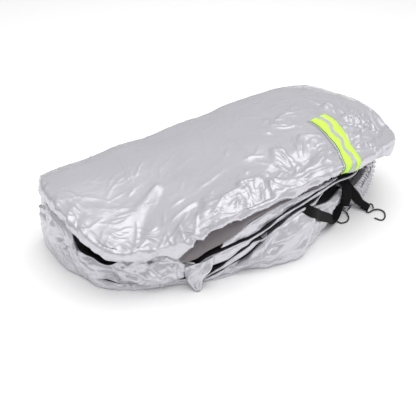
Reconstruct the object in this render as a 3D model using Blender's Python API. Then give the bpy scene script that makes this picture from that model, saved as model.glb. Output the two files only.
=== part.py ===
"""A folded car cover: one coated cloth folded back and forth into a long bundle, with the pieces
that are sewn or fitted to it. Metres, +Z up, long side along X, folded edges facing -Y, and the
origin on the floor under the middle of the bundle.

The cover is one solid. Its section across the bundle is a single back-and-forth line of seven
layers, each standing for a pack of thin plies, and the section is lofted along X through the
rows of STATIONS."""

import math

import bpy
import numpy as np
from mathutils import Vector
from mathutils.bvhtree import BVHTree

# ---------------------------------------------------------------- driving sizes
LAYER_GAP = 0.004  # air between neighbouring layers
LIP_THICK = 0.020  # the top layer at its front edge
CROWN_THICK = 0.034  # the top layer under the crown
REAR_FALL = 0.3  # how much of the crown's rise is lost again at the back
LOFT_STATIONS = 30
SEAT = 0.0008  # clearance between a sewn piece and what it lies on
TAPE_WIDTH = 0.055
TAPE_THICK = 0.0012
TAPE_STEP = 0.0035
SILVER_THICK = 0.0008
SILVER_WIDTH = 0.013
WEBBING_WIDTH = 0.025
WEBBING_THICK = 0.002
WIRE = 0.0040  # hook wire diameter
WIRE_BEND = 0.003  # radius of the sharp corners of a hook
EYE_DEPTH = 0.0065  # how far an eye's two sides run on before they close in
EYE_ROOM = 0.0004  # clearance between a hook's wire and the webbing round it

# One row for each place along the bundle. The first four sizes after x are the front edges of the four
# packs; rear is the back of the bundle; crown its height; the last three are the undersides of the
# upper three packs at the front.
COLUMNS = ("x", "top", "upper", "middle", "base", "rear", "crown", "top_z", "upper_z", "middle_z")
STATIONS = (
    (-0.470, 0.090, 0.105, 0.105, 0.085, 0.190, 0.160, 0.104, 0.070, 0.035),
    (-0.454, 0.010, 0.030, 0.030, 0.025, 0.200, 0.184, 0.108, 0.072, 0.036),
    (-0.415, -0.050, -0.036, -0.034, -0.028, 0.205, 0.200, 0.112, 0.075, 0.038),
    (-0.340, -0.118, -0.098, -0.092, -0.088, 0.206, 0.211, 0.112, 0.078, 0.040),
    (-0.260, -0.155, -0.132, -0.138, -0.128, 0.206, 0.224, 0.128, 0.086, 0.045),
    (-0.150, -0.172, -0.152, -0.166, -0.166, 0.207, 0.240, 0.152, 0.105, 0.060),
    (0.000, -0.182, -0.162, -0.172, -0.202, 0.208, 0.253, 0.168, 0.136, 0.102),
    (0.080, -0.185, -0.158, -0.160, -0.180, 0.208, 0.255, 0.174, 0.148, 0.120),
    (0.140, -0.183, -0.146, -0.140, -0.148, 0.208, 0.254, 0.177, 0.152, 0.126),
    (0.240, -0.176, -0.100, -0.098, -0.104, 0.206, 0.248, 0.178, 0.140, 0.100),
    (0.330, -0.158, -0.045, -0.045, -0.086, 0.203, 0.237, 0.176, 0.130, 0.076),
    (0.420, -0.105, 0.010, 0.010, -0.050, 0.196, 0.221, 0.168, 0.118, 0.060),
    (0.460, -0.020, 0.060, 0.060, 0.000, 0.188, 0.202, 0.152, 0.104, 0.052),
    (0.478, 0.050, 0.090, 0.090, 0.070, 0.178, 0.178, 0.134, 0.090, 0.045),
)

# The sewn tape from the crown to the top layer's front edge: plan positions of its two long edges.
TAPE_EDGES = (
    # left_x, left_y, right_x, right_y
    (0.205, -0.015, 0.262, -0.006),
    (0.211, -0.040, 0.268, -0.030),
    (0.209, -0.068, 0.266, -0.055),
    (0.203, -0.095, 0.260, -0.080),
    (0.195, -0.125, 0.253, -0.105),
    (0.184, -0.155, 0.245, -0.133),
    (0.172, -0.178, 0.236, -0.160),
)
TAPE_UNDER = 0.026  # how far the tape carries on round the front edge

# Each webbing strap, from where it leaves the folds to its end: a place on the middle of its width,
# then the way its outer face looks.
STRAP_LEFT = (
    (0.058, -0.140, 0.118, 0.00, -0.30, 0.95),
    (0.080, -0.172, 0.105, 0.00, -0.60, 0.80),
    (0.110, -0.182, 0.075, 0.00, -0.90, 0.43),
    (0.140, -0.168, 0.040, 0.05, -0.90, 0.43),
    (0.167, -0.150, 0.012, 0.05, -0.60, 0.80),
    (0.192, -0.139, 0.002, 0.00, -0.10, 0.99),
    (0.216, -0.128, 0.001, 0.00, 0.00, 1.00),
    (0.241, -0.116, 0.001, 0.00, 0.00, 1.00),
)
STRAP_MIDDLE = (
    (0.248, -0.094, 0.121, -0.20, -0.80, 0.55),
    (0.250, -0.098, 0.110, -0.30, -0.80, 0.50),
    (0.254, -0.120, 0.084, -0.50, -0.80, 0.33),
    (0.256, -0.127, 0.050, -0.52, -0.83, 0.20),
    (0.2573, -0.1242, 0.030, -0.50, -0.75, 0.43),
    (0.258, -0.123, 0.020, -0.50, -0.75, 0.43),
)
STRAP_RIGHT = (
    (0.283, -0.078, 0.070, -0.30, -0.50, 0.81),
    (0.288, -0.100, 0.056, -0.40, -0.70, 0.59),
    (0.299, -0.120, 0.034, -0.40, -0.65, 0.65),
    (0.309, -0.134, 0.018, -0.20, -0.30, 0.93),
    (0.316, -0.144, 0.0126, -0.10, -0.20, 0.97),
    (0.321, -0.152, 0.0094, -0.10, -0.20, 0.97),
)
LOOP_BACK = 0.018  # how far a strap's sewn end runs back behind it

# Each hook's wire beyond the eye that the strap holds: a place on it, then the radius of the bend there.
HOOK_MIDDLE = (
    (0.257, -0.131, 0.006, 0.003),
    (0.257, -0.139, 0.0026, 0.010),
    (0.249, -0.153, 0.0022, 0.012),
    (0.231, -0.163, 0.0022, 0.012),
    (0.214, -0.158, 0.0022, 0.010),
    (0.212, -0.147, 0.0022, 0.000),
)
HOOK_RIGHT = (
    (0.329, -0.164, 0.0046, 0.003),
    (0.345, -0.168, 0.0026, 0.009),
    (0.349, -0.184, 0.0022, 0.012),
    (0.335, -0.202, 0.0022, 0.012),
    (0.313, -0.210, 0.0022, 0.010),
    (0.306, -0.190, 0.0022, 0.000),
)

SILVER_CLOTH = ("silver_cloth", (0.56, 0.56, 0.58), 0.42, 0.55)
SAFETY_YELLOW = ("safety_yellow", (0.55, 0.95, 0.06), 0.70, 0.0)
SILVER_REFLECTOR = ("silver_reflector", (0.50, 0.49, 0.54), 0.45, 0.3)
BLACK_WEBBING = ("black_webbing", (0.012, 0.012, 0.013), 0.85, 0.0)
BLACK_WIRE = ("black_wire", (0.015, 0.015, 0.016), 0.35, 0.6)


def clear_scene():
    for obj in list(bpy.data.objects):
        bpy.data.objects.remove(obj)


def material(name, colour, roughness, metallic):
    made = bpy.data.materials.get(name) or bpy.data.materials.new(name)
    made.use_nodes = True
    shader = made.node_tree.nodes["Principled BSDF"]
    shader.inputs["Base Color"].default_value = (*colour, 1.0)
    shader.inputs["Roughness"].default_value = roughness
    shader.inputs["Metallic"].default_value = metallic
    return made


def add_mesh(name, points, faces, finish):
    mesh = bpy.data.meshes.new(name)
    mesh.from_pydata([tuple(p) for p in points], [], faces)
    mesh.validate()
    mesh.shade_smooth()
    mesh.set_sharp_from_angle(angle=math.radians(50))
    obj = bpy.data.objects.new(name, mesh)
    bpy.context.scene.collection.objects.link(obj)
    mesh.materials.append(material(*finish))
    return obj


def ring_faces(rings, count):
    """The faces of a closed tube of equal rings, with a flat face at each end."""
    faces = [
        (i * count + j, (i + 1) * count + j, (i + 1) * count + (j + 1) % count, i * count + (j + 1) % count)
        for i in range(rings - 1)
        for j in range(count)
    ]
    faces.append(tuple(range(count)))
    faces.append(tuple((rings - 1) * count + j for j in reversed(range(count))))
    return faces


# ---------------------------------------------------------------- smooth interpolation
def through(knots, values, at):
    """A smooth curve through the values at the knots."""
    knots, values = np.asarray(knots, float), np.asarray(values, float)
    slope = np.diff(values, axis=0) / np.diff(knots).reshape([-1] + [1] * (values.ndim - 1))
    tangent = np.concatenate([slope[:1], (slope[1:] + slope[:-1]) / 2, slope[-1:]])
    i = int(np.clip(np.searchsorted(knots, at) - 1, 0, len(knots) - 2))
    span = knots[i + 1] - knots[i]
    t = (at - knots[i]) / span
    return (
        values[i] * (2 * t**3 - 3 * t**2 + 1)
        + tangent[i] * span * (t**3 - 2 * t**2 + t)
        + values[i + 1] * (3 * t**2 - 2 * t**3)
        + tangent[i + 1] * span * (t**3 - t**2)
    )


def lengths(points):
    """The distance along a line of points, at each point."""
    points = np.asarray(points, float)
    return np.concatenate([[0], np.cumsum(np.linalg.norm(np.diff(points, axis=0), axis=1))])


def station(x):
    """The bundle's sizes at x, by column name."""
    table = np.array(STATIONS)
    return dict(zip(COLUMNS, through(table[:, 0], table, x)))


# ---------------------------------------------------------------- the folded section
TOP_STEPS = 10  # straight pieces along the top layer
LAYER_STEPS = 5  # straight pieces along the other layers
OUTER_STEPS = 8  # around the outside of a fold
INNER_STEPS = 2  # around the inside of a fold


def top_height(s, y):
    """The upper face of the top layer: up from the front edge to the crown, a little down to the rear."""
    t = np.clip((y - s["top"]) / (s["rear"] - s["top"]), 0, 1)
    front, rear = np.clip(1 - t / 0.6, 0, 1), np.clip((t - 0.6) / 0.4, 0, 1)
    rise = 1 - front**2 - REAR_FALL * rear**2
    lip = s["top_z"] + LIP_THICK
    return lip + (s["crown"] - lip) * rise


def layer_faces(s, y):
    """The heights at y of the under and upper faces of the seven layers, from the floor up."""
    t = float(np.clip((y - s["top"]) / (s["rear"] - s["top"]), 0, 1))
    top = top_height(s, y)
    under_top = top - LIP_THICK - (CROWN_THICK - LIP_THICK) * math.sin(math.pi * min(t * 1.2, 1)) ** 2
    upper = s["upper_z"] / s["top_z"] * (1 - t) + 0.67 * t
    middle = s["middle_z"] / s["top_z"] * (1 - t) + 0.34 * t
    floors = [0.0, middle * under_top, upper * under_top, under_top]
    faces = []
    for low, high in zip(floors[:-1], floors[1:]):
        ply = (high - low - 2 * LAYER_GAP) / 2
        faces += [low, low + ply, low + ply + LAYER_GAP, high - LAYER_GAP]
    return faces + [under_top, top]


def section(x):
    """The closed outline of the folded cloth at x, as (y, z) points. The top layer's front comes first."""
    s = station(x)
    front = [s["base"], s["middle"], s["upper"], s["top"]]
    # Each fold reaches out by about half the height of the two layers that it joins.
    nose = [0.5 * np.ptp(np.take(layer_faces(s, y), [4 * k, 4 * k + 3])) for k, y in enumerate(front[:3])]
    nose.append(LIP_THICK / 2)
    start = [y + n for y, n in zip(front, nose)]
    rear_faces = layer_faces(s, s["rear"])
    rear_nose = max((rear_faces[2 * k + 3] - rear_faces[2 * k]) / 2 for k in (1, 3, 5))
    end = s["rear"] - rear_nose

    def along(face, pack, forward):
        stops = np.linspace(end, start[pack], (TOP_STEPS if face > 11 else LAYER_STEPS) + 1)
        return [(float(y), layer_faces(s, y)[face]) for y in (stops if forward else stops[::-1])]

    def turn(y, low, high, reach, steps, upward):
        """Round a fold from one face to another, following the layers' own slope."""
        points = []
        for k in range(1, steps):
            angle = -math.pi / 2 + math.pi * k / steps
            at = y + reach * math.cos(angle)
            heights = layer_faces(s, at)
            share = 0.5 + 0.5 * math.sin(angle)
            points.append((at, heights[low] + (heights[high] - heights[low]) * share))
        return points if upward else points[::-1]

    outline = along(12, 3, True)
    outline += turn(start[3], 12, 13, -nose[3], OUTER_STEPS, True)
    outline += along(13, 3, False)
    # Down the inside of the cloth: round each rear fold, then forward and round each front fold.
    outline += turn(end, 10, 13, rear_nose, OUTER_STEPS, False)
    for pack in (2, 1, 0):
        upper, lower = 4 * pack + 2, 4 * pack + 1
        outline += along(upper, pack, True)
        outline += turn(start[pack], lower, upper, -LAYER_GAP / 2, INNER_STEPS, False)
        outline += along(lower, pack, False)
        if pack:
            outline += turn(end, lower - 3, lower, rear_nose, OUTER_STEPS, False)
    # Up the outside: from the floor round each front fold, then back and round each rear fold.
    for pack in range(3):
        low, high = 4 * pack, 4 * pack + 3
        outline += along(low, pack, True)
        outline += turn(start[pack], low, high, -nose[pack], OUTER_STEPS, True)
        outline += along(high, pack, False)
        outline += turn(end, high, high + 1, LAYER_GAP / 2, INNER_STEPS, True)
    return outline


def add_cover():
    """The folded cloth, with its loft places closer together towards the two ends."""
    low, high = STATIONS[0][0], STATIONS[-1][0]
    shares = np.linspace(0, 1, LOFT_STATIONS)
    places = low + (high - low) * (0.6 * shares + 0.4 * (0.5 - 0.5 * np.cos(np.pi * shares)))
    rings = [section(x) for x in places]
    points = [(x, y, z) for x, ring in zip(places, rings) for y, z in ring]
    return add_mesh("cover", points, ring_faces(len(rings), len(rings[0])), SILVER_CLOTH)


def surface_tree(*objects):
    """The joined surfaces of finished objects, for laying other pieces on."""
    points, faces = [], []
    for obj in objects:
        first = len(points)
        points += [v.co.copy() for v in obj.data.vertices]
        faces += [[first + i for i in p.vertices] for p in obj.data.polygons]
    return BVHTree.FromPolygons(points, faces)


def resting(tree, point, room):
    """The place just clear of a surface that is nearest to a point."""
    hit, normal, _, _ = tree.find_nearest(Vector(point))
    return np.array(hit + normal * room)


# ---------------------------------------------------------------- bands
def grid_normals(grid):
    normal = np.cross(np.gradient(grid, axis=0), np.gradient(grid, axis=1))
    return normal / np.linalg.norm(normal, axis=2, keepdims=True)


def add_band(name, lower, thick, finish):
    """A thin closed band from a grid of points on its lower face."""
    lower = np.asarray(lower, float)
    upper = lower + grid_normals(lower) * thick
    rings = [np.concatenate([low[::-1], high]) for low, high in zip(lower, upper)]
    return add_mesh(name, np.concatenate(rings), ring_faces(len(rings), len(rings[0])), finish)


def on_top(x, run):
    """A point of the top layer's outside at x; run is measured from the tip of its front edge, up and back."""
    ring = np.array(section(x)[: 2 * TOP_STEPS + OUTER_STEPS + 1])
    at = lengths(ring)
    tip = at[TOP_STEPS + OUTER_STEPS // 2]
    return np.array([x, np.interp(tip + run, at, ring[:, 0]), np.interp(tip + run, at, ring[:, 1])])


def run_to(x, y):
    """How far the top layer's outside runs at x from the tip of its front edge up and back to y."""
    ring = np.array(section(x)[TOP_STEPS + OUTER_STEPS // 2: 2 * TOP_STEPS + OUTER_STEPS + 1])
    return float(np.interp(y, ring[:, 0], lengths(ring)))


def tape_grid(shares, tree):
    """Points of the sewn tape at shares of its width, lying just clear of what is under it."""
    edges = []
    for side in (0, 2):
        edge = [(x, run_to(x, y)) for x, y in np.array(TAPE_EDGES)[:, side:side + 2]]
        last = edge[-1]
        drift = (edge[-1][0] - edge[-2][0]) / (edge[-1][1] - edge[-2][1])
        edge.append((last[0] - drift * (last[1] + TAPE_UNDER) * 0.6, -TAPE_UNDER))
        edges.append(np.array(edge))
    rows = int(lengths(edges[0])[-1] / TAPE_STEP)
    grid = []
    for share in shares:
        line = edges[0] + (edges[1] - edges[0]) * share
        at = lengths(line)
        points = [through(at, line, a) for a in np.linspace(0, at[-1], rows)]
        grid.append([on_top(x, run) for x, run in points])
    grid = np.swapaxes(np.array(grid), 0, 1)
    above = grid + grid_normals(grid) * 2 * TAPE_THICK
    return [[resting(tree, point, SEAT) for point in row] for row in above]


def add_tape(cover):
    """The safety-yellow tape, and the silver band sewn down its middle."""
    grid = tape_grid(np.linspace(0, 1, 9), surface_tree(cover))
    tape = add_band("reflective_tape", grid, TAPE_THICK, SAFETY_YELLOW)
    half = SILVER_WIDTH / TAPE_WIDTH / 2
    grid = tape_grid(np.linspace(0.5 - half, 0.5 + half, 4), surface_tree(tape))
    add_band("reflective_band", grid, SILVER_THICK, SILVER_REFLECTOR)


# ---------------------------------------------------------------- straps and hooks
def unit(v):
    return v / np.linalg.norm(v)


def strap_path(rows, spacing):
    """Places along a strap, with the directions it runs and faces in."""
    rows = np.array(rows, float)
    at = lengths(rows[:, :3])
    stops = np.linspace(0, at[-1], round(at[-1] / spacing) + 1)
    points = np.array([through(at, rows[:, :3], a) for a in stops])
    runs = np.array([unit(v) for v in np.gradient(points, axis=0)])
    faces = np.array([through(at, rows[:, 3:], a) for a in stops])
    faces = np.array([unit(f - run * f.dot(run)) for f, run in zip(faces, runs)])
    return points, runs, faces


def clear_of(tree, point, room):
    """The point itself, or pushed out of the cloth and up off the floor to leave the given room."""
    place = Vector(point)
    hit, normal, _, distance = tree.find_nearest(place)
    inside = (place - hit).dot(normal) < 0
    if inside or distance < room:
        place = hit + normal * room
    place.z = max(place.z, 0.0003)
    return np.array(place)


def eye_frame(rows):
    """The middle of the wire held in a strap's end, and the directions that the end runs, faces and spans."""
    points, runs, faces = strap_path(rows, 0.004)
    room = WIRE / 2 + EYE_ROOM
    return points[-1] - faces[-1] * room, runs[-1], faces[-1], np.cross(faces[-1], runs[-1])


def add_strap(name, rows, tree, looped):
    """A strap of webbing laid clear of the cloth; a looped one turns back round its hook's wire."""
    points, runs, faces = strap_path(rows, 0.004)
    shares = np.linspace(-0.5, 0.5, 7) * WEBBING_WIDTH
    grid = []
    for point, run, face in zip(points, runs, faces):
        across = np.cross(face, run)
        grid.append([clear_of(tree, point + across * s, SEAT) for s in shares])
    if looped:
        middle, run, face, across = eye_frame(rows)
        room = WIRE / 2 + EYE_ROOM
        turns = [math.pi * k / 6 for k in range(1, 7)]
        lane = [middle + room * (face * math.cos(a) + run * math.sin(a)) for a in turns]
        for share in np.linspace(0, 1, 5)[1:]:
            rise = (2 * room - SEAT) * min(share * 1.5, 1)
            lane.append(lane[5] - run * LOOP_BACK * share + face * rise)
        grid += [[place + across * s for s in shares] for place in lane]
    return add_band(name, grid, WEBBING_THICK, BLACK_WEBBING)


def rounded(points, bends):
    """A line of points with each inner corner rounded off."""
    line = [points[0]]
    for before, corner, after, bend in zip(points, points[1:], points[2:], bends[1:]):
        one, two = before - corner, after - corner
        reach = min(bend, 0.48 * np.linalg.norm(one), 0.48 * np.linalg.norm(two))
        start, end = corner + unit(one) * reach, corner + unit(two) * reach
        for t in np.linspace(0, 1, 6):
            line.append(start * (1 - t) ** 2 + corner * 2 * t * (1 - t) + end * t**2)
    return np.array(line + [points[-1]])


def add_wire(name, line, radius, finish):
    """A round wire along a line."""
    runs = [unit(v) for v in np.gradient(line, axis=0)]
    side = unit(np.cross(runs[0], (0.3, 0.2, 1.0)))
    rings = []
    for point, run in zip(line, runs):
        side = unit(side - run * side.dot(run))
        other = np.cross(run, side)
        angles = [2 * math.pi * k / 8 for k in range(8)]
        rings.append([point + radius * (side * math.cos(a) - other * math.sin(a)) for a in angles])
    return add_mesh(name, np.concatenate(rings), ring_faces(len(rings), 8), finish)


def add_hook(name, rows, strap_rows):
    """A wire hook: three-sided eye with its base inside the strap's end, then the open bight."""
    middle, run, face, across = eye_frame(strap_rows)
    half = WEBBING_WIDTH / 2 + WIRE_BEND + 0.0012
    rows = np.array(rows, float)
    neck = rows[0, :3]
    near, far = middle + across * half, middle - across * half
    near_shoulder, far_shoulder = near + run * EYE_DEPTH, far + run * EYE_DEPTH
    start = neck + unit(near_shoulder - neck) * (WIRE + 0.0012)
    points = [start, near_shoulder, near, far, far_shoulder, *rows[:, :3]]
    bends = [0, *[WIRE_BEND] * 4, *rows[:, 3]]
    return add_wire(name, rounded(points, bends), WIRE / 2, BLACK_WIRE)


clear_scene()
cover = add_cover()
add_tape(cover)
tree = surface_tree(cover)
add_strap("strap_left", STRAP_LEFT, tree, False)
add_strap("strap_middle", STRAP_MIDDLE, tree, True)
add_strap("strap_right", STRAP_RIGHT, tree, True)
add_hook("hook_middle", HOOK_MIDDLE, STRAP_MIDDLE)
add_hook("hook_right", HOOK_RIGHT, STRAP_RIGHT)
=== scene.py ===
"""The looks of a folded car cover: silver-coated cloth folded back and forth into a long bundle, with a
sewn safety-yellow tape, webbing straps and wire hooks. +Z is up, and the folded edges face -Y. Lengths
are in metres, apart from the tables of places and creases in millimetres, which mm() turns to metres."""

import math

import bpy
import numpy as np
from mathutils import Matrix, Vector
from mathutils.bvhtree import BVHTree


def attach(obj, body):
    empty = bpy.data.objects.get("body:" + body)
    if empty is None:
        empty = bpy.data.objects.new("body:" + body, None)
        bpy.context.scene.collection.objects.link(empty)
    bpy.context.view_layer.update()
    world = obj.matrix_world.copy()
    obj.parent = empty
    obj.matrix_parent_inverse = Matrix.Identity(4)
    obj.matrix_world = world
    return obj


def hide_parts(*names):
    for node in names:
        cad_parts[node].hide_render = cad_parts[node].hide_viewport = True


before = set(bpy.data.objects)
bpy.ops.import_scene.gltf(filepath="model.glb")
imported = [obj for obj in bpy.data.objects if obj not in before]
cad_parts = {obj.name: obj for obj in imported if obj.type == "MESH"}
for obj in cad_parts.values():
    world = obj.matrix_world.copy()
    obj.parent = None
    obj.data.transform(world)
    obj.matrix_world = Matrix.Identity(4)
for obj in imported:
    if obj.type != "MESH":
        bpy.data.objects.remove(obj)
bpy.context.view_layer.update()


# ---------------------------------------------------------------- camera
VIEW_TURN = math.radians(-33)
VIEW_RISE = math.radians(36)
VIEW_AWAY = 1.444
VIEW_AT = Vector((-0.10, 0.0, 0.08))


def add_object(name, data):
    """A new object in the scene."""
    obj = bpy.data.objects.new(name, data)
    bpy.context.scene.collection.objects.link(obj)
    return obj


def look_along(obj, way):
    """Turn a camera or a light to look along a way."""
    obj.rotation_mode = "QUATERNION"
    obj.rotation_quaternion = way.to_track_quat("-Z", "Y")


view_back = Vector((
    math.sin(VIEW_TURN) * math.cos(VIEW_RISE),
    -math.cos(VIEW_TURN) * math.cos(VIEW_RISE),
    math.sin(VIEW_RISE),
))
camera = add_object("camera", bpy.data.cameras.new("camera"))
camera.data.lens = 50
camera.data.sensor_width = 36
camera.location = VIEW_AT + view_back * VIEW_AWAY
look_along(camera, -view_back)
bpy.context.scene.camera = camera
bpy.context.scene.view_settings.view_transform = "Standard"


# ---------------------------------------------------------------- smooth lines
LINE_READS = 40  # how many places a smooth line is read at, for each of its own points


def mm(table):
    """A table in millimetres, in metres."""
    return np.array(table, float) * 0.001


def unit(ways):
    """The same ways, each one long."""
    return ways / np.maximum(np.linalg.norm(ways, axis=-1, keepdims=True), 1e-12)


def lengths(points):
    """The distance along a line of points, at each point."""
    return np.concatenate([[0], np.cumsum(np.linalg.norm(np.diff(points, axis=0), axis=1))])


def through(knots, values, at, lane=None):
    """A smooth curve through the values at the knots, read at many places. Where a lane is given for each
    place, every column of the values is a curve of its own, and the lane says which one to read."""
    knots, values = np.asarray(knots, float), np.asarray(values, float)
    at = np.clip(at, knots[0], knots[-1])
    slope = (np.diff(values, axis=0).T / np.diff(knots)).T
    tangent = np.concatenate([slope[:1], (slope[1:] + slope[:-1]) / 2, slope[-1:]])
    i = np.clip(np.searchsorted(knots, at, side="right") - 1, 0, len(knots) - 2)
    span = knots[i + 1] - knots[i]
    t = (at - knots[i]) / span
    low, high = (i, i + 1) if lane is None else ((i, lane), (i + 1, lane))
    return (
        values[low].T * (2 * t**3 - 3 * t**2 + 1)
        + tangent[low].T * span * (t**3 - 2 * t**2 + t)
        + values[high].T * (3 * t**2 - 2 * t**3)
        + tangent[high].T * span * (t**3 - t**2)
    ).T


def smooth_line(points, count):
    """Places at equal steps along a smooth line through the points."""
    at = lengths(points)
    fine = through(at, points, np.linspace(0, at[-1], LINE_READS * len(points)))
    run = lengths(fine)
    stops = np.linspace(0, run[-1], count)
    return np.stack([np.interp(stops, run, fine[:, i]) for i in range(fine.shape[1])], 1)


def outward(line):
    """The level way out of the bundle along a line that runs round it counter-clockwise."""
    run = np.gradient(line[:, :2], axis=0)
    return unit(np.stack([run[:, 1], -run[:, 0], np.zeros(len(run))], 1))


def evened(ring, rounds):
    """Values round a closed line, each evened out with its neighbours."""
    for _ in range(rounds):
        ring = (np.roll(ring, 1, 0) + ring + np.roll(ring, -1, 0)) / 3
    return ring


# ---------------------------------------------------------------- crumple
LATTICE = 64  # the crumple's random lattice repeats after this many cells
STRENGTHS = 4096  # how many random strengths there are for the borders between cells
FAR = 1e9  # farther than anything
BROAD_CELL, MIDDLE_CELL, SMALL_CELL = 0.075, 0.034, 0.015  # the facets of crumpled cloth
CREASE_POINTS = 10
CREASE_REACH = 8  # a crease dies away within this many of its widths
WRINKLE_WIDTH = 2.2  # mm
STEP_RISE = 0.78  # the share of a step's pitch over which a stepped patch rises


def sway(places, size, seed):
    """A slow random drift of places, about a fifth of size, to bend straight creases a little."""
    random = np.random.RandomState(seed)
    drift = np.zeros_like(places)
    for _ in range(5):
        wave = random.randn(2) / size
        phase = random.rand(2) * 2 * math.pi
        swing = places @ wave
        drift += np.stack([np.sin(swing + phase[0]), np.cos(swing + phase[1])], 1)
    return drift * 0.2 * size


def drawn_out(places, stretch, lean):
    """Places in the directions of a pattern that is stretched along a way that leans by some degrees."""
    turn = math.radians(lean)
    long_way = np.array((math.cos(turn), math.sin(turn)))
    wide_way = np.array((-math.sin(turn), math.cos(turn)))
    return np.stack([places @ long_way / stretch, places @ wide_way], 1)


def cells_near(places, cell, jitter):
    """For each cell round the places: which one it is, and the way from its random point to the place."""
    home = np.floor(places / cell).astype(int)
    for across in range(-2, 3):
        for along in range(-2, 3):
            key = home + (across, along)
            pick = key[:, 0] % LATTICE, key[:, 1] % LATTICE
            yield pick, places - (key + jitter[pick]) * cell


def envelope(places, cell, seed):
    """The upper envelope of equal paraboloids standing on a random lattice."""
    random = np.random.RandomState(seed)
    jitter = random.rand(LATTICE, LATTICE, 2)
    lift = random.rand(LATTICE, LATTICE) * 0.5 * cell
    best = np.full(len(places), -FAR)
    for pick, way in cells_near(places, cell, jitter):
        best = np.maximum(best, lift[pick] - (way**2).sum(1) / (2 * cell))
    return best


def facets(places, cell, seed, stretch, lean):
    """Flat facets of about one cell that meet in straight ridges and valleys; stretch draws them out."""
    laid = drawn_out(places + sway(places, cell * 1.5, seed + 7), stretch, lean)
    return envelope(laid, cell, seed) - envelope(laid, cell, seed + 1)


def pinches(places, cell, width, seed, chance, stretch, lean):
    """Sparse pinched creases: of the borders between random cells, a share stand up as narrow ridges."""
    laid = drawn_out(places + sway(places, cell * 2.0, seed + 9) * 1.4, stretch, lean)
    random = np.random.RandomState(seed)
    jitter = random.rand(LATTICE, LATTICE, 2)
    strength = random.rand(STRENGTHS)
    near = np.full((3, len(laid)), FAR)
    label = np.zeros((2, len(laid)), int)
    for pick, way in cells_near(laid, cell, jitter):
        away = np.linalg.norm(way, axis=1)
        name = pick[0] * LATTICE + pick[1]
        first, second, third = away < near[0], away < near[1], away < near[2]
        near[2] = np.where(second, near[1], np.where(third, away, near[2]))
        near[1] = np.where(first, near[0], np.where(second, away, near[1]))
        label[1] = np.where(first, label[0], np.where(second, name, label[1]))
        near[0] = np.where(first, away, near[0])
        label[0] = np.where(first, name, label[0])
    draw = strength[(label[0] * label[1] + label[0] + label[1]) % STRENGTHS]
    tall = np.clip((draw - 1 + chance) / chance, 0, 1)
    run_out = np.clip((near[2] - near[1]) / (0.25 * cell), 0, 1)
    return tall * run_out * np.exp(-(near[1] - near[0]) / (2 * width))


def crumpled(places, coarse, fine, seed, stretch, lean, size=1.0):
    """The rise of crumpled cloth at flat places: broad facets, smaller ones on them, and pinched creases."""
    rise = coarse * facets(places, BROAD_CELL * size, seed, stretch, lean)
    rise += 0.8 * coarse * facets(places, MIDDLE_CELL * size, seed + 20, stretch, lean)
    rise += 0.5 * fine * facets(places, SMALL_CELL * size, seed + 40, (1 + stretch) / 2, lean)
    long_ones = pinches(places, 0.070, 0.0028, seed + 60, 0.5, stretch, lean + 20)
    short_ones = pinches(places, 0.034, 0.0022, seed + 80, 0.45, stretch, lean - 15)
    return rise + 0.020 * fine * long_ones + 0.012 * fine * short_ones


def along_line(places, line):
    """How far each place is from a line, and the share of the line's length at its nearest point."""
    best, value = np.full(len(places), FAR), np.zeros(len(places))
    at = lengths(line)
    for a, b, low, high in zip(line, line[1:], at, at[1:]):
        way = b - a
        t = np.clip((places - a) @ way / (way @ way), 0, 1)
        away = np.linalg.norm(places - a - t[:, None] * way, axis=1)
        closer = away < best
        best, value = np.where(closer, away, best), np.where(closer, low + (high - low) * t, value)
    return best, value / at[-1]


def creased(places, table):
    """The rise of single creases: sharp ridges that fade at both ends. A row gives, in millimetres,
    how high its middle stands (or how deep it lies, below 0), its width and the places it runs through."""
    rise = np.zeros(len(places))
    for tall, width, *route in table:
        tall, width = mm((tall, width))
        line = smooth_line(mm(route), CREASE_POINTS)
        reach = lengths(line)[-1] / 2 + CREASE_REACH * width
        near = np.flatnonzero(np.linalg.norm(places - line.mean(0), axis=1) < reach)
        away, share = along_line(places[near], line)
        fade = np.sin(math.pi * (0.08 + 0.84 * share)) ** 0.7
        rise[near] += tall * fade * np.exp(-away / width)
    return rise


def fans(table, seed):
    """Rows for creased(): bunches of thin creases. Each row of the table gives a bunch's middle, the way
    its creases run, how far they fan out, how far apart they lie, their length, height and number."""
    random = np.random.RandomState(seed)
    rows = []
    for x, y, way, fan, apart, long, tall, number in table:
        for k in range(number):
            part = (k + 0.5) / number - 0.5
            turn = math.radians(way + fan * part + random.uniform(-7, 7))
            side = math.radians(way + 90)
            middle = np.array((x, y)) + apart * number * part * np.array((math.cos(side), math.sin(side)))
            middle += random.uniform(-0.3, 0.3, 2) * long
            half = 0.5 * long * random.uniform(0.5, 1.1) * np.array((math.cos(turn), math.sin(turn)))
            bow = random.uniform(-0.15, 0.15) * long * np.array((-math.sin(turn), math.cos(turn)))
            tall_here = tall * random.uniform(0.6, 1.2)
            rows.append((tall_here, WRINKLE_WIDTH, middle - half, middle + bow, middle + half))
    return rows


def spots(places, table, base):
    """A share at each place: the base, with a soft round patch for each row (middle, reach, share)."""
    share = np.full(len(places), base, float)
    for middle, reach, value in table:
        share += (value - base) * np.exp(-(((places - mm(middle)) / mm(reach)) ** 2).sum(1))
    return share


def within(places, outline):
    """Which places lie inside a closed outline."""
    inside = np.zeros(len(places), bool)
    for a, b in zip(outline, np.roll(outline, -1, 0)):
        crosses = (a[1] > places[:, 1]) != (b[1] > places[:, 1])
        at = a[0] + (places[:, 1] - a[1]) * (b[0] - a[0]) / (b[1] - a[1] + 1e-12)
        inside ^= crosses & (places[:, 0] < at)
    return inside


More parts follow.
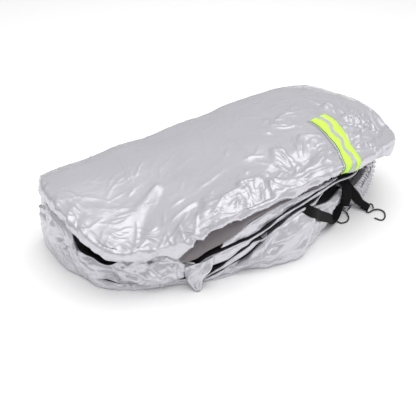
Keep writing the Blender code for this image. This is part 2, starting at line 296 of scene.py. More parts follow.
def patched(places, table, uphill, fall):
    """The rise of tilted patches, and the small crumple's share on them. Beside a patch the rise dies away
    over the fall. Where a patch has a pitch, it tilts in steps that far apart, each falling back quickly."""
    rise, small = np.zeros(len(places)), np.zeros(len(places))
    for slope, share, pitch, *outline in table:
        pitch, outline = mm(pitch), mm(outline)
        away, _ = along_line(places, np.concatenate([outline, outline[:1]]))
        reach = np.clip(1 - np.where(within(places, outline), 0, away) / fall, 0, 1)
        reach = reach * reach * (3 - 2 * reach)
        up = (places - outline.mean(0)) @ uphill
        if pitch:
            up = up + 1.1 * facets(places, 0.04, seed=63, stretch=1.5, lean=30)
            part = up / pitch - np.floor(up / pitch)
            up = pitch * np.where(part < STEP_RISE, part, STEP_RISE * (1 - part) / (1 - STEP_RISE))
        rise += slope * up * reach
        small = np.maximum(small, share * reach)
    return rise, small


# ---------------------------------------------------------------- materials
WEAVE = 0.0065
WEBBING_RIB = 0.0036
WAVE_LENGTH = 0.314  # a wave texture of scale 1 repeats after about this length
CLOUDS = 9.0  # in a metre: soft changes of tone about 110 mm wide
DIMPLES = (55, 105, 1)  # in a metre, along and across: about 18 mm by 10 mm
BLOTCHES = 120.0  # in a metre: about 8 mm wide


def linear(code):
    """The linear colour of an sRGB hex code."""
    parts = [int(code[i:i + 2], 16) / 255 for i in (0, 2, 4)]
    return (*[p / 12.92 if p <= 0.04045 else ((p + 0.055) / 1.055) ** 2.4 for p in parts], 1.0)


def fill_in(node, settings=(), **links):
    """Give a node its settings and links. In a link's name _ stands for a space, and i0 is input 0."""
    for key, value in dict(settings).items():
        if isinstance(key, str) and hasattr(node, key):
            setattr(node, key, value)
        else:
            node.inputs[key].default_value = value
    for key, source in links.items():
        socket = int(key[1:]) if key[1:].isdigit() else key.replace("_", " ")
        node.id_data.links.new(source, node.inputs[socket])
    return node


def add_node(tree, kind, settings=(), **links):
    """A new node with its settings and links."""
    return fill_in(tree.nodes.new(kind), settings, **links)


def new_material(name, settings=()):
    """A node material, its tree and its Principled shader with the given settings."""
    made = bpy.data.materials.new(name)
    made.use_nodes = True
    return made, made.node_tree, fill_in(made.node_tree.nodes["Principled BSDF"], settings)


def coated_cloth(name, light, dark, metallic, roughness, crinkle):
    """Plain-woven polyester, calendered, with or without its silver coat: a faint grid of threads under a
    skin that catches light on every crease. Real threads are about 0.3 mm apart, too fine to show, so the
    grid is drawn at a far wider pitch."""
    made, tree, shader = new_material(name, {"Metallic": metallic})
    flat = add_node(tree, "ShaderNodeUVMap", {"uv_map": "flat"}).outputs["UV"]
    clouds = {"Scale": CLOUDS, "Detail": 3.0}
    cloudy = add_node(tree, "ShaderNodeTexNoise", clouds, Vector=flat).outputs["Fac"]
    tones = {"data_type": "RGBA", 6: linear(dark), 7: linear(light)}
    tone = add_node(tree, "ShaderNodeMix", tones, i0=cloudy)
    gloss = {"To Min": roughness - 0.04, "To Max": roughness + 0.06}
    rough = add_node(tree, "ShaderNodeMapRange", gloss, Value=cloudy)
    threads = []
    for direction in ("X", "Y"):
        bands = {"bands_direction": direction, "Scale": WAVE_LENGTH / WEAVE}
        threads.append(add_node(tree, "ShaderNodeTexWave", bands, Vector=flat).outputs["Fac"])
    grid = add_node(tree, "ShaderNodeMath", {"operation": "ADD"}, i0=threads[0], i1=threads[1])
    # Two dimpled patterns taken from each other leave small flat facets with straight edges.
    dimples = []
    for turn, offset in ((25, 0.0), (-40, 3.7)):
        laid = add_node(tree, "ShaderNodeMapping", {
            "Rotation": (0, 0, math.radians(turn)), "Location": (offset, offset, 0), "Scale": DIMPLES,
        }, i0=flat).outputs[0]
        wander = add_node(tree, "ShaderNodeTexNoise", {"Scale": 0.35}, Vector=laid).outputs["Color"]
        drift = {"operation": "MULTIPLY_ADD", 1: (2.2, 2.2, 0)}
        bent = add_node(tree, "ShaderNodeVectorMath", drift, i0=wander, i2=laid).outputs[0]
        cells = add_node(tree, "ShaderNodeTexVoronoi", {"Scale": 1.0, "feature": "F1"}, Vector=bent)
        dimples.append(cells.outputs["Distance"])
    small = add_node(tree, "ShaderNodeMath", {"operation": "SUBTRACT"}, i0=dimples[0], i1=dimples[1])
    share = add_node(tree, "ShaderNodeAttribute", {"attribute_name": "crinkled"}).outputs["Fac"]
    small = add_node(tree, "ShaderNodeMath", {"operation": "MULTIPLY"}, i0=small.outputs[0], i1=share)
    woven = add_node(tree, "ShaderNodeBump", {"Strength": 0.10, "Distance": 0.0004}, Height=grid.outputs[0])
    sharp = {"Strength": 1.0, "Distance": crinkle}
    bump = add_node(tree, "ShaderNodeBump", sharp, Height=small.outputs[0], Normal=woven.outputs[0])
    fill_in(shader, Base_Color=tone.outputs[2], Roughness=rough.outputs[0], Normal=bump.outputs[0])
    return made


def fluorescent_tape():
    """Woven tape with a fluorescent dye, which sends back more light of its own colour than falls on it; a
    faint painted glow of its own colour, the same under any light, stands in for that. Small uneven blotches
    roughen it."""
    made, tree, shader = new_material("fluorescent_woven_polyester_tape", {
        "Roughness": 0.55, "Emission Color": linear("C8FF50"), "Emission Strength": 0.08,
    })
    flat = add_node(tree, "ShaderNodeUVMap", {"uv_map": "flat"}).outputs["UV"]
    blotches = {"Scale": BLOTCHES, "Detail": 2.0}
    blotch = add_node(tree, "ShaderNodeTexNoise", blotches, Vector=flat).outputs["Fac"]
    tones = {"data_type": "RGBA", 6: linear("BFF24A"), 7: linear("D6FF6E")}
    tone = add_node(tree, "ShaderNodeMix", tones, i0=blotch)
    bump = add_node(tree, "ShaderNodeBump", {"Strength": 0.5, "Distance": 0.0006}, Height=blotch)
    fill_in(shader, Base_Color=tone.outputs[2], Normal=bump.outputs[0])
    return made


def woven_webbing():
    """Dull black webbing with cross ribs, drawn about twice as coarse as real ones so that they show."""
    made, tree, shader = new_material("woven_black_polypropylene_webbing", {
        "Base Color": linear("0A0A0B"), "Roughness": 0.75, "Specular IOR Level": 0.25,
    })
    flat = add_node(tree, "ShaderNodeUVMap", {"uv_map": "flat"}).outputs["UV"]
    bands = {"bands_direction": "X", "Scale": WAVE_LENGTH / WEBBING_RIB}
    ribs = add_node(tree, "ShaderNodeTexWave", bands, Vector=flat).outputs["Fac"]
    bump = add_node(tree, "ShaderNodeBump", {"Strength": 0.6, "Distance": 0.0005}, Height=ribs)
    fill_in(shader, Normal=bump.outputs[0])
    return made


def plain_finish(name, code, roughness, **more):
    """An even finish: a colour, a roughness, and more of the shader's settings by name."""
    more = {key.replace("_", " "): value for key, value in more.items()}
    return new_material(name, {"Base Color": linear(code), "Roughness": roughness, **more})[0]


silver_cloth = coated_cloth("silver_coated_polyester", "D8D7DD", "CFCED5", 0.58, 0.23, 0.0020)
inner_cloth = coated_cloth("uncoated_inner_face", "8F898B", "807A7D", 0.10, 0.55, 0.0006)
# The plies inside and the runs tucked in under the folds are the same silver cloth; this dark colour is
# painted shade for the deep shadow there.
painted_shade_cloth = coated_cloth("painted_shade_inner_plies", "3A383C", "302F33", 0.10, 0.60, 0.0006)
yellow_tape = fluorescent_tape()
black_webbing = woven_webbing()
# Tiny glass beads on grey cloth: an even grey with a soft silvery sheen.
beaded_band = plain_finish("glass_beaded_reflective_band", "CCC7D6", 0.42, Metallic=0.35)
# A smooth black coat baked on steel wire: a soft streak of light on black.
black_wire = plain_finish("black_powder_coated_wire", "0B0B0C", 0.32, Coat_Weight=0.2, Coat_Roughness=0.15)
# Twisted sewing thread, too thin for its twist to show: a soft, even sheen.
yellow_thread = plain_finish("yellow_polyester_thread", "B4E04A", 0.5)
grey_thread = plain_finish("grey_polyester_thread", "8C8A92", 0.5)
black_thread = plain_finish("black_polyester_thread", "2A2A2E", 0.5)


# ---------------------------------------------------------------- sheets
CLOTH_THICK = 0.0009
FLOOR_ROOM = CLOTH_THICK + 0.0002
FACE_STEP = 0.0022  # between the points on a fold's face
TUCK_STEP = 0.009  # between the points where it runs in
NOSE_ROUND = 0.8  # how a fold's face turns over: 1 is a half ellipse, and below 1 is squarer
FACE_GAIN = 1.6  # the crumple grows this much faster than the face turns out, so most of the face has it all
EDGE_SHARE = 0.25  # the share of the crumple along a fold's two lines
FOLD_CRINKLE = 0.7  # the share of the small crinkle on most folds

sheets = {}  # each piece of the cover, with its flat width and length and how it is held


def grid_faces(rows, columns):
    """The faces of a grid of points that are numbered row by row."""
    at = np.arange(rows * columns).reshape(rows, columns)
    return np.stack([at[:-1, :-1], at[:-1, 1:], at[1:, 1:], at[1:, :-1]], -1).reshape(-1, 4)


def flat_grid(along, across):
    """A grid's places in the flat pattern, from the distances along and across it."""
    return np.stack(np.meshgrid(along, across, indexing="ij"), -1).reshape(-1, 2)


def normals(points, faces):
    """The outward way at each point of a mesh of four-sided faces."""
    corner = points[faces]
    facing = np.cross(corner[:, 2] - corner[:, 0], corner[:, 3] - corner[:, 1])
    total = np.zeros_like(points)
    for k in range(4):
        np.add.at(total, faces[:, k], facing)
    return unit(total)


def add_cloth(name, points, faces, flat, finish, thick=CLOTH_THICK, crinkled=0.6):
    """A sheet with its flat pattern kept as a UV map in metres, and how crinkled it is as an attribute."""
    mesh = bpy.data.meshes.new(name)
    mesh.from_pydata(points.tolist(), [], faces.tolist())
    mesh.shade_smooth()
    corners = np.empty(len(mesh.loops), int)
    mesh.loops.foreach_get("vertex_index", corners)
    mesh.uv_layers.new(name="flat").data.foreach_set("uv", flat[corners].ravel())
    attribute = mesh.attributes.new("crinkled", "FLOAT", "POINT")
    attribute.data.foreach_set("value", np.broadcast_to(crinkled, len(points)).astype(np.float32))
    mesh.materials.append(finish)
    obj = add_object(name, mesh)
    if thick:
        wall = obj.modifiers.new("cloth thickness", "SOLIDIFY")
        wall.thickness = thick
        wall.offset = -1
    return obj


def paint_shade_on_inner_runs(obj, faces, share):
    """Give the runs that lie inside the bundle, where share is 0 all round a face, the dark material of
    painted shade: the same silver cloth, coloured dark for the deep shade in there.
    """
    obj.data.materials.append(painted_shade_cloth)
    obj.data.polygons.foreach_set("material_index", (share[faces].max(1) <= 0).astype(int))


def add_sheet(name, grid, flat, rise, finish, crinkled, cut, held="folded"):
    """A grid of places raised along its outward ways, kept off the floor, and noted as a sheet of cloth."""
    faces, points = grid_faces(*grid.shape[:2]), grid.reshape(-1, 3)
    points = points + normals(points, faces) * rise[:, None]
    points[:, 2] = np.maximum(points[:, 2], FLOOR_ROOM)
    obj = add_cloth(name, points, faces, flat, finish, crinkled=crinkled)
    sheets[obj] = (*cut, held)
    return obj, faces, points


def fold_grid(top, bottom, bulge, tuck, slope):
    """One fold's nose: in from its top line, over the face to its bottom line, and in again below.

    bulge is how far the face stands out of its two lines, tuck how far the cloth runs in behind them,
    and slope how much the two inner runs close up (above 0) on the way in. Gives the grid, each point's
    flat place, a share that is 1 on the face and 0 in the tucks, and the cloth's width and length."""
    count = max(8, int(max(lengths(top)[-1], lengths(bottom)[-1]) / FACE_STEP))
    high, low = smooth_line(top, count), smooth_line(bottom, count)
    side = outward((high + low) / 2)
    bulge = np.atleast_1d(bulge)
    bulge = np.interp(np.linspace(0, 1, count), np.linspace(0, 1, len(bulge)), bulge)[:, None]
    tall = np.linalg.norm(high - low, axis=1).max() + 2 * bulge.max()
    inner = np.linspace(1, 0, max(3, int(tuck / TUCK_STEP)), endpoint=False)
    turns = np.linspace(0, math.pi, max(6, int(tall / FACE_STEP)))
    above = [high - side * tuck * reach - np.array((0, 0, slope * reach)) for reach in inner]
    below = [low - side * tuck * reach + np.array((0, 0, slope * reach)) for reach in inner[::-1]]
    face = []
    for turn in turns:
        drop = (1 - math.cos(turn)) / 2
        out = max(math.sin(turn), 0) ** NOSE_ROUND
        face.append(high + (low - high) * drop + side * bulge * out)
    no_share = np.zeros(len(inner))
    share = np.concatenate([no_share, np.minimum(1.0, np.sin(turns) * FACE_GAIN), no_share])
    grid = np.stack(above + face + below, 1)
    across = np.cumsum(np.linalg.norm(np.diff(grid, axis=1), axis=2), 1)
    across = np.concatenate([np.zeros((count, 1)), across], 1)
    along = np.repeat(lengths((high + low) / 2)[:, None], grid.shape[1], 1)
    flat = np.stack([along, across], -1).reshape(-1, 2)
    cut = (np.ptp(across, axis=1).mean(), lengths(grid.mean(1))[-1])
    return grid, flat, np.tile(share, count), cut


def add_fold(name, top, bottom, bulge, tuck, coarse, fine, seed, stretch, lean=0.0, size=1.0, slope=0.004,
             finish=silver_cloth, crinkled=FOLD_CRINKLE, marks=()):
    """A fold as a crumpled sheet with its main creases."""
    grid, flat, share, cut = fold_grid(top, bottom, bulge, tuck, slope)
    amount = EDGE_SHARE * (share > 0) + (1 - EDGE_SHARE) * share
    rise = crumpled(flat, coarse, fine, seed, stretch, lean, size) * amount
    rise += creased(grid.reshape(-1, 3), marks) * share
    obj, faces, _ = add_sheet(name, grid, flat, rise, finish, crinkled, cut)
    # The runs tucked in behind the fold get painted shade.
    paint_shade_on_inner_runs(obj, faces, share)


# ---------------------------------------------------------------- the top layer
# Its nose in plan: the front and the rear from left to right, and both ends from front to rear.
TOP_FRONT = (
    (-412, -78), (-385, -100), (-340, -118), (-260, -155), (-150, -172), (0, -182), (80, -185), (140, -183),
    (240, -176), (330, -158), (392, -136), (425, -103),
)
TOP_RIGHT = (
    (425, -103), (443, -62), (455, -10), (464, 40), (470, 80), (455, 130), (435, 170),
)
TOP_REAR = (
    (-446, 199), (-410, 207), (-300, 209), (-100, 209), (100, 208), (300, 207), (360, 204), (405, 193),
    (435, 170),
)
TOP_LEFT = (
    (-412, -78), (-430, -50), (-448, 0), (-456, 60), (-459, 120), (-457, 165), (-446, 199),
)
TOP_LONG, TOP_WIDE = 0.92, 0.36
TOP_STEP = 0.0023
ALONG, ACROSS = int(TOP_LONG / TOP_STEP), int(TOP_WIDE / TOP_STEP)  # the points of its upper face
LIP_OUT = 0.011  # how far the lip's nose stands out of the crest line
LIP_RINGS, TUCK_RINGS = 12, 8
TUCK_UNDER = 0.07  # how far the cloth runs in under the lip
REAR_LIP = 0.026  # the lip's height along the rear
REAR_FROM = 0.12  # the rear of the crest line lies beyond this y
LEFT_FROM = -0.415  # and its left end beyond this x
TOP_CUT = (0.56, 1.07)  # the upper face with the parts turned under it

# The upper face's height at shares of the way from the front crest to the rear one.
CREST_SHARES = (0.0, 0.2, 0.45, 0.7, 0.9, 1.0)
# x, then the height at each share
CREST_ROWS = (
    (-455, 156, 168, 182, 195, 197, 192),
    (-405, 140, 157, 179, 197, 197, 192),
    (-333, 133, 152, 179, 200, 199, 194),
    (-282, 140, 160, 187, 206, 205, 200),
    (-234, 164, 178, 198, 213, 211, 206),
    (-164, 183, 195, 210, 218, 211, 206),
    (-74, 192, 204, 220, 228, 221, 216),
    (40, 202, 215, 231, 237, 228, 223),
    (150, 208, 220, 236, 243, 237, 232),
    (270, 200, 215, 233, 243, 240, 235),
    (350, 196, 208, 222, 233, 232, 227),
    (420, 188, 199, 211, 217, 211, 206),
    (475, 176, 184, 190, 190, 182, 177),
)
# The lip's height: along the front as (x, height), and round the left end as (y, height).
FRONT_LIP = (
    (-460, 18), (-420, 24), (-400, 30), (-380, 27), (-360, 27), (-335, 36), (-310, 29), (-290, 31),
    (-270, 54), (-255, 46), (-240, 36), (-220, 28), (-190, 28), (-130, 28), (-20, 26), (40, 25), (150, 26),
    (220, 28), (260, 28), (310, 31), (360, 43), (400, 54), (430, 58), (490, 45),
)
LEFT_LIP = (
    (-80, 28), (-30, 30), (30, 40), (80, 46), (130, 46), (200, 34),
)


def crest_height(x, share):
    """The height of the top layer's upper face: x along the bundle, share from its front to its rear."""
    table = mm(CREST_ROWS)
    rows = through(table[:, 0], table[:, 1:], x)
    return through(CREST_SHARES, rows.T, share, lane=np.arange(len(x)))


def blended(front, rear, left, right):
    """A grid of plan points whose four sides are the given lines."""
    u = np.linspace(0, 1, len(front))[:, None, None]
    v = np.linspace(0, 1, len(left))[None, :, None]
    between = front[:, None] * (1 - v) + rear[:, None] * v + left[None] * (1 - u) + right[None] * u
    corners = (1 - u) * ((1 - v) * front[0] + v * rear[0]) + u * ((1 - v) * front[-1] + v * rear[-1])
    return between - corners


def upper_face():
    """The top layer's upper face inside its crest line, and the level way out at each point of its rim."""
    front, rear = smooth_line(mm(TOP_FRONT), ALONG), smooth_line(mm(TOP_REAR), ALONG)
    left, right = smooth_line(mm(TOP_LEFT), ACROSS), smooth_line(mm(TOP_RIGHT), ACROSS)
    nose = np.concatenate([front, right[1:], rear[::-1][1:], left[::-1][1:-1]])
    run = np.roll(nose, -1, 0) - np.roll(nose, 1, 0)
    side = unit(evened(unit(np.stack([run[:, 1], -run[:, 0]], 1)), rounds=12))
    crest = nose - side * LIP_OUT
    right_end, rear_end = ALONG + ACROSS - 1, 2 * ALONG + ACROSS - 2
    plan = blended(
        front=crest[:ALONG],
        rear=crest[right_end - 1:rear_end][::-1],
        left=np.concatenate([crest[rear_end - 1:], crest[:1]])[::-1],
        right=crest[ALONG - 1:right_end],
    )
    share = np.tile(np.linspace(0, 1, ACROSS), (ALONG, 1))
    height = crest_height(plan[..., 0].ravel(), share.ravel()).reshape(ALONG, ACROSS, 1)
    return np.concatenate([plan, height], -1), side


def lip_heights(crest):
    """The lip's height at each point of the crest line."""
    tall = np.interp(crest[:, 0], *mm(FRONT_LIP).T)
    tall = np.where(crest[:, 1] > REAR_FROM, REAR_LIP, tall)
    tall = np.where(crest[:, 0] < LEFT_FROM, np.interp(crest[:, 1], *mm(LEFT_LIP).T), tall)
    return evened(tall, rounds=6)


def whole_top():
    """The upper face, the lip that turns down and in all round it, and the cloth that runs in under that:
    its points, flat places, faces, and a weight that is 1 on top, falls down the lip, and is 0 below."""
    cap, side = upper_face()
    at = np.arange(ALONG * ACROSS).reshape(ALONG, ACROSS)
    before = np.concatenate([at[:, 0], at[-1, 1:], at[::-1, -1][1:], at[0, ::-1][1:-1]])
    cap = cap.reshape(-1, 3)
    crest = cap[before]
    tall = lip_heights(crest)
    out = np.column_stack([side, np.zeros(len(crest))])
    nose = np.interp(side[:, 1], (-0.2, 0.4), (0.62, 0.5))  # the rear edge turns over more sharply
    rings = []
    for turn in np.linspace(0, math.pi, LIP_RINGS + 1)[1:]:
        ring = crest + out * (LIP_OUT * abs(math.sin(turn)) ** nose)[:, None]
        ring[:, 2] -= tall * (1 - math.cos(turn)) / 2
        rings.append((ring, 1 - 0.35 * turn / math.pi))
    for reach in np.linspace(0, 1, TUCK_RINGS + 1)[1:]:
        ring = crest - out * TUCK_UNDER * reach
        ring[:, 2] -= tall * (1 - 0.2 * reach)
        rings.append((ring, 0.0))
    points, flat, weights = [cap], [cap[:, :2]], [np.ones(len(cap))]
    faces = [grid_faces(ALONG, ACROSS)[:, ::-1]]
    run, last = np.zeros(len(crest)), crest
    for ring, weight in rings:
        run = run + np.linalg.norm(ring - last, axis=1)
        ids = sum(map(len, points)) + np.arange(len(ring))
        faces.append(np.stack([before, ids, np.roll(ids, -1), np.roll(before, -1)], 1))
        points.append(ring)
        flat.append(crest[:, :2] + side * run[:, None])
        weights.append(np.full(len(ring), weight))
        before, last = ids, ring
    return [np.concatenate(parts) for parts in (points, flat, faces, weights)]


# The top's creases, as creased() reads them.
CREASES = (
    (2.3, 2.5, (-260, 60), (-240, 75), (-220, 85)),
    (2.1, 3.1, (-305, 20), (-285, 30)),
    (3.8, 4.3, (-275, -5), (-255, 0), (-235, 0)),
    (2.1, 1.9, (-340, -5), (-315, -15), (-290, -20)),
    (2.3, 1.9, (-350, -15), (-330, -25), (-300, -35)),
    (2.1, 1.9, (-365, -20), (-350, -25), (-325, -35)),
    (1.8, 1.9, (-365, -30), (-335, -40)),
    (1.8, 1.9, (-305, -15), (-260, -30)),
    (3.4, 3.1, (-245, -65), (-225, -65), (-205, -65)),
    (3.8, 3.1, (-280, -90), (-260, -95), (-225, -90), (-195, -90), (-170, -105)),
    (1.8, 1.9, (-260, -65), (-275, -90)),
    (2.6, 2.5, (-315, -90), (-305, -90), (-295, -85)),
    (3.4, 3.1, (-370, -80), (-350, -110)),
    (3.6, 3.1, (-355, -80), (-340, -110), (-320, -125)),
    (3, 2.5, (-335, -110), (-325, -115), (-320, -125)),
    (3.4, 2.5, (-260, -130), (-245, -145), (-225, -160)),
    (2.6, 2.5, (-245, -135), (-225, -155)),
    (1.8, 3.1, (-435, 95), (-415, 70), (-400, 30)),
    (1.8, 3.1, (-435, 85), (-420, 45), (-420, 0)),
    (1.8, 3.7, (-425, 65), (-430, 0), (-425, -35)),
    (2.1, 3.7, (-420, -5), (-410, -45), (-400, -80)),
    (2.9, 2.8, (90, 95), (115, 70)),
    (4.8, 3.7, (130, 55), (105, 20)),
    (5.4, 3.7, (120, 20), (140, 40), (170, 50), (215, 40)),
    (4.5, 2.8, (110, 15), (130, 0), (150, -5), (170, 10)),
    (4.1, 5.6, (75, 10), (85, 0)),
    (4.1, 3.7, (280, 100), (285, 60), (310, 15)),
    (2.9, 3.7, (220, 35), (265, 30)),
    (3.3, 5.6, (-20, 45), (-10, -5), (-15, -50)),
    (2.9, 3.7, (-30, 15), (-50, -5)),
    (1.5, 3.7, (-90, -45), (-135, -55), (-165, -65)),
    (2.9, 3.7, (30, -25), (10, -40), (-15, -45)),
    (2.9, 3.7, (-25, -40), (20, -55)),
    (3.3, 4.6, (-50, -85), (-30, -75)),
    (3.7, 4.6, (0, -70), (25, -95), (40, -135)),
    (5.7, 5.6, (55, -150), (110, -150), (170, -140)),
    (4.1, 3.7, (75, -140), (135, -145)),
    (5.7, 5.6, (55, -165), (105, -165), (140, -175)),
    (4.1, 2.8, (205, -60), (195, -115), (180, -155)),
    (3.7, 3.7, (165, -95), (195, -85)),
    (3.7, 3.7, (150, -130), (185, -125)),
    (4.5, 3.7, (35, -85), (40, -105)),
    (4.8, 3.7, (60, -75), (55, -115)),
    (3.4, 3.1, (-95, -110), (-80, -110), (-30, -115)),
    (3, 3.1, (-135, -110), (-110, -115), (-80, -120)),
    (2.8, 3.1, (-160, -90), (-150, -105), (-130, -110)),
    (2.8, 2.5, (-185, -95), (-160, -120), (-105, -115)),
    (3, 1.9, (-75, -125), (-90, -150), (-105, -175)),
    (4.1, 3.7, (-35, -125), (-65, -170)),
    (4.1, 3.7, (-20, -135), (-35, -170)),
    (2.6, 2.5, (-175, -130), (-155, -150), (-110, -165)),
    (2.3, 3.1, (-190, -140), (-160, -145)),
    (2.8, 2.5, (-160, -170), (-130, -175), (-110, -175)),
    (4.8, 3.7, (-35, -170), (-15, -175), (5, -175)),
    (4.8, 4.6, (-30, -120), (-10, -160), (10, -180)),
    (2.9, 3.7, (175, 60), (220, 70)),
    (2.9, 3.7, (175, -15), (165, -50)),
    (4.8, 4.6, (285, -40), (330, -30), (340, -45), (325, -80), (275, -105)),
    (4.8, 4.6, (340, -10), (360, -55), (345, -95)),
    (4.1, 3.7, (275, -70), (300, -55), (305, -80), (265, -105)),
    (4.5, 5.6, (375, -80), (370, -100), (315, -125)),
    (4.1, 4.6, (265, -110), (310, -105)),
    (3.7, 3.7, (255, -130), (305, -135)),
    (4.8, 3.7, (240, -140), (300, -155), (340, -150)),
    (5.7, 2.2, (265, -190), (310, -180), (360, -165), (400, -145)),
    (3.7, 5.6, (450, 50), (410, -55), (405, -90)),
    (3.7, 5.6, (385, -20), (385, -70)),
)
# Creases that run down the wall of the lip: on the left, and at the front.
WALL_CREASES = (
    (4, 4, (-440, 95), (-455, 65), (-480, 50)),
    (4, 4, (-450, 170), (-455, 130), (-480, 110)),
    (-4, 4, (-445, 175), (-450, 145), (-485, 130)),
    (4, 5, (-455, 195), (-475, 160), (-490, 150)),
    (-5, 5, (-450, 100), (-470, 85), (-500, 80)),
    (4, 4, (-430, 45), (-450, 20), (-470, 0)),
    (-4, 4, (-420, 20), (-440, -5), (-460, -20)),
    (6, 5, (-275, -150), (-260, -175), (-245, -205)),
    (-6.5, 5, (-260, -150), (-245, -175), (-230, -205)),
    (5, 5, (-240, -160), (-220, -185), (-195, -205)),
    (-5, 5, (-220, -165), (-200, -185), (-175, -205)),
    (4, 5, (-165, -175), (-120, -190), (-75, -205)),
    (4, 5, (-60, -180), (-10, -195), (40, -205)),
)
# Patches that tilt to the front: the slope, the share of small crumple on it, the pitch of its steps in mm
# (or 0 for one even slope), and its outline in plan.
PATCHES = (
    (0.22, 0.20, 0, (290, 30), (340, 50), (420, 30), (430, -60), (360, -100), (290, -30)),
    (0.09, 0.15, 0, (-240, -5), (-270, -35), (-295, -50), (-335, -85), (-345, -85), (-330, -40),
     (-285, -15)),
    (0.15, 0.14, 0, (-240, -125), (-215, -135), (-170, -105), (-205, -165), (-240, -145)),
    (0.17, 0.45, 0, (-175, -120), (-115, -120), (-80, -125), (-105, -175), (-160, -170), (-205, -165),
     (-195, -135)),
    (0.19, 0.41, 0, (-85, -110), (-30, -115), (-30, -140), (-45, -175), (-100, -165), (-80, -125)),
    (0.15, 0.54, 0, (-15, -135), (40, -170), (85, -185), (35, -180), (5, -180), (-35, -175)),
    (0.20, 0.30, 0, (140, -55), (185, -65), (140, -110), (60, -140), (75, -105)),
    (0.17, 0.23, 0, (50, -60), (65, -70), (60, -100), (55, -135), (40, -135), (35, -85)),
    (0.15, 0.18, 0, (70, -155), (155, -160), (140, -175), (90, -185), (60, -170)),
    (0.14, 0.14, 0, (120, -140), (175, -135), (160, -145), (90, -155)),
    (0.26, 0.30, 50, (280, -40), (380, 0), (375, -50), (300, -95), (255, -110)),
    (0.26, 0.25, 50, (350, -50), (380, -65), (375, -95), (305, -130), (260, -130), (315, -85)),
    (0.13, 0.09, 0, (75, 20), (95, 5), (85, -5), (70, 5)),
)
UPHILL = np.array((-0.10, 0.995))  # the level way that the patches rise
PATCH_FALL = 0.016
EVEN_SHARE = 0.24  # of the crumple, on most of the top
# Where the top is livelier: the middle, the reach in x and y, and the share of the crumple there.
LIVELY = (
    ((100, -130), (140, 40), 0.8),
    ((360, 0), (100, 100), 0.45),
    ((220, 0), (80, 80), 0.6),
    ((-200, -140), (100, 40), 0.8),
    ((-420, 20), (50, 120), 0.5),
    ((-100, -120), (120, 40), 0.8),
)
# Bunches of small wrinkles: x, y, way in degrees, fan, apart, long, tall, number.
WRINKLES = (
    (-345, -25, -20, 10, 9, 45, 1.6, 7),
    (-315, -100, -35, 30, 9, 50, 2.2, 7),
    (-385, -70, -50, 25, 9, 45, 2, 6),
    (-430, 60, -60, 20, 8, 60, 1.8, 6),
    (125, 40, 30, 140, 6, 50, 2.8, 9),
    (190, 30, -10, 60, 12, 60, 2, 6),
    (120, -80, 60, 70, 10, 60, 2.8, 10),
    (60, -95, 95, 60, 10, 50, 2.6, 7),
    (160, -115, 10, 50, 8, 55, 2.4, 8),
    (330, -40, 35, 120, 10, 70, 3, 11),
    (360, 10, 20, 90, 11, 60, 2.6, 9),
    (400, -50, 75, 40, 9, 70, 2.6, 8),
    (300, -115, 20, 40, 8, 70, 2.6, 8),
    (-60, -140, 60, 80, 10, 50, 2.4, 8),
    (-130, -140, 30, 60, 9, 60, 2.4, 8),
    (50, -150, 10, 40, 8, 70, 2.6, 8),
    (-430, -10, 30, 60, 20, 70, 2, 3),
    (-390, -85, 20, 70, 19, 80, 1.2, 4),
    (-330, -125, 35, 70, 19, 80, 2.6, 4),
    (-265, -155, 60, 90, 17, 70, 2.8, 4),
    (-150, -185, 80, 70, 17, 50, 2.2, 6),
    (-330, 100, 30, 60, 22, 90, 0.9, 8),
    (-210, 70, 50, 50, 22, 100, 1.1, 8),
    (-60, 60, 65, 60, 22, 100, 1.1, 8),
    (20, 130, 40, 70, 22, 90, 1, 8),
    (180, 130, 20, 80, 22, 90, 1.2, 8),
    (330, 110, 15, 80, 20, 80, 1.4, 8),
    (100, -195, 80, 70, 16, 40, 2.4, 8),
    (330, -175, 60, 60, 14, 50, 3, 7),
    (100, 195, 90, 60, 30, 50, 1.1, 12),
    (-250, 195, 90, 60, 30, 50, 1.1, 12),
)


def top_crumple(flat, weights):
    """How far the crumple stands out of the top layer, and the share of small crinkle on it."""
    places = flat + sway(flat, 0.03, seed=5) * 0.25
    patch_rise, patch_share = patched(places, PATCHES, UPHILL, PATCH_FALL)
    lively = spots(flat, LIVELY, EVEN_SHARE)
    # The lip's face is crumpled at the front and on the left, and is livelier left of the middle.
    at_front, at_left = -flat[:, 1] / 0.05, (-0.40 - flat[:, 0]) / 0.02
    lip = np.where(weights > 0, np.clip((1 - weights) / 0.12, 0, 1), 0)
    lip = lip * np.clip(np.maximum(at_front, at_left), 0, 1)
    lively = lively + 0.5 * lip * np.clip((-0.10 - flat[:, 0]) / 0.10, 0, 1)
    rise = lively * crumpled(flat, 0.15, 0.22, seed=11, stretch=1.4, lean=25) * weights
    rise += 0.05 * facets(flat, 0.11, seed=23, stretch=1.6, lean=50) * weights
    rise += patch_share * 0.16 * facets(flat, 0.020, seed=14, stretch=1.8, lean=60)
    rise += patch_share * 0.12 * facets(flat, 0.011, seed=17, stretch=1.5, lean=20)
    rise += lip * 0.18 * facets(flat, 0.045, seed=91, stretch=1.8, lean=-35)
    rise += lip * 0.18 * facets(flat, 0.020, seed=92, stretch=1.6, lean=-60)
    main_marks = creased(places, [*CREASES, *WALL_CREASES, *fans(WRINKLES, seed=3)]) + patch_rise
    return rise + main_marks * np.minimum(1, weights * 1.5), 0.22 * lively + 0.4 * patch_share


top_points, top_places, top_faces, top_weights = whole_top()
top_rise, top_crinkle = top_crumple(top_places, top_weights)
top_points = top_points + normals(top_points, top_faces) * top_rise[:, None]
top = add_cloth("cover_top_layer", top_points, top_faces, top_places, silver_cloth, thick=0,
                crinkled=top_crinkle)
# The cloth tucked in under the lip gets painted shade.
paint_shade_on_inner_runs(top, top_faces, top_weights)
sheets[top] = (*TOP_CUT, "folded")


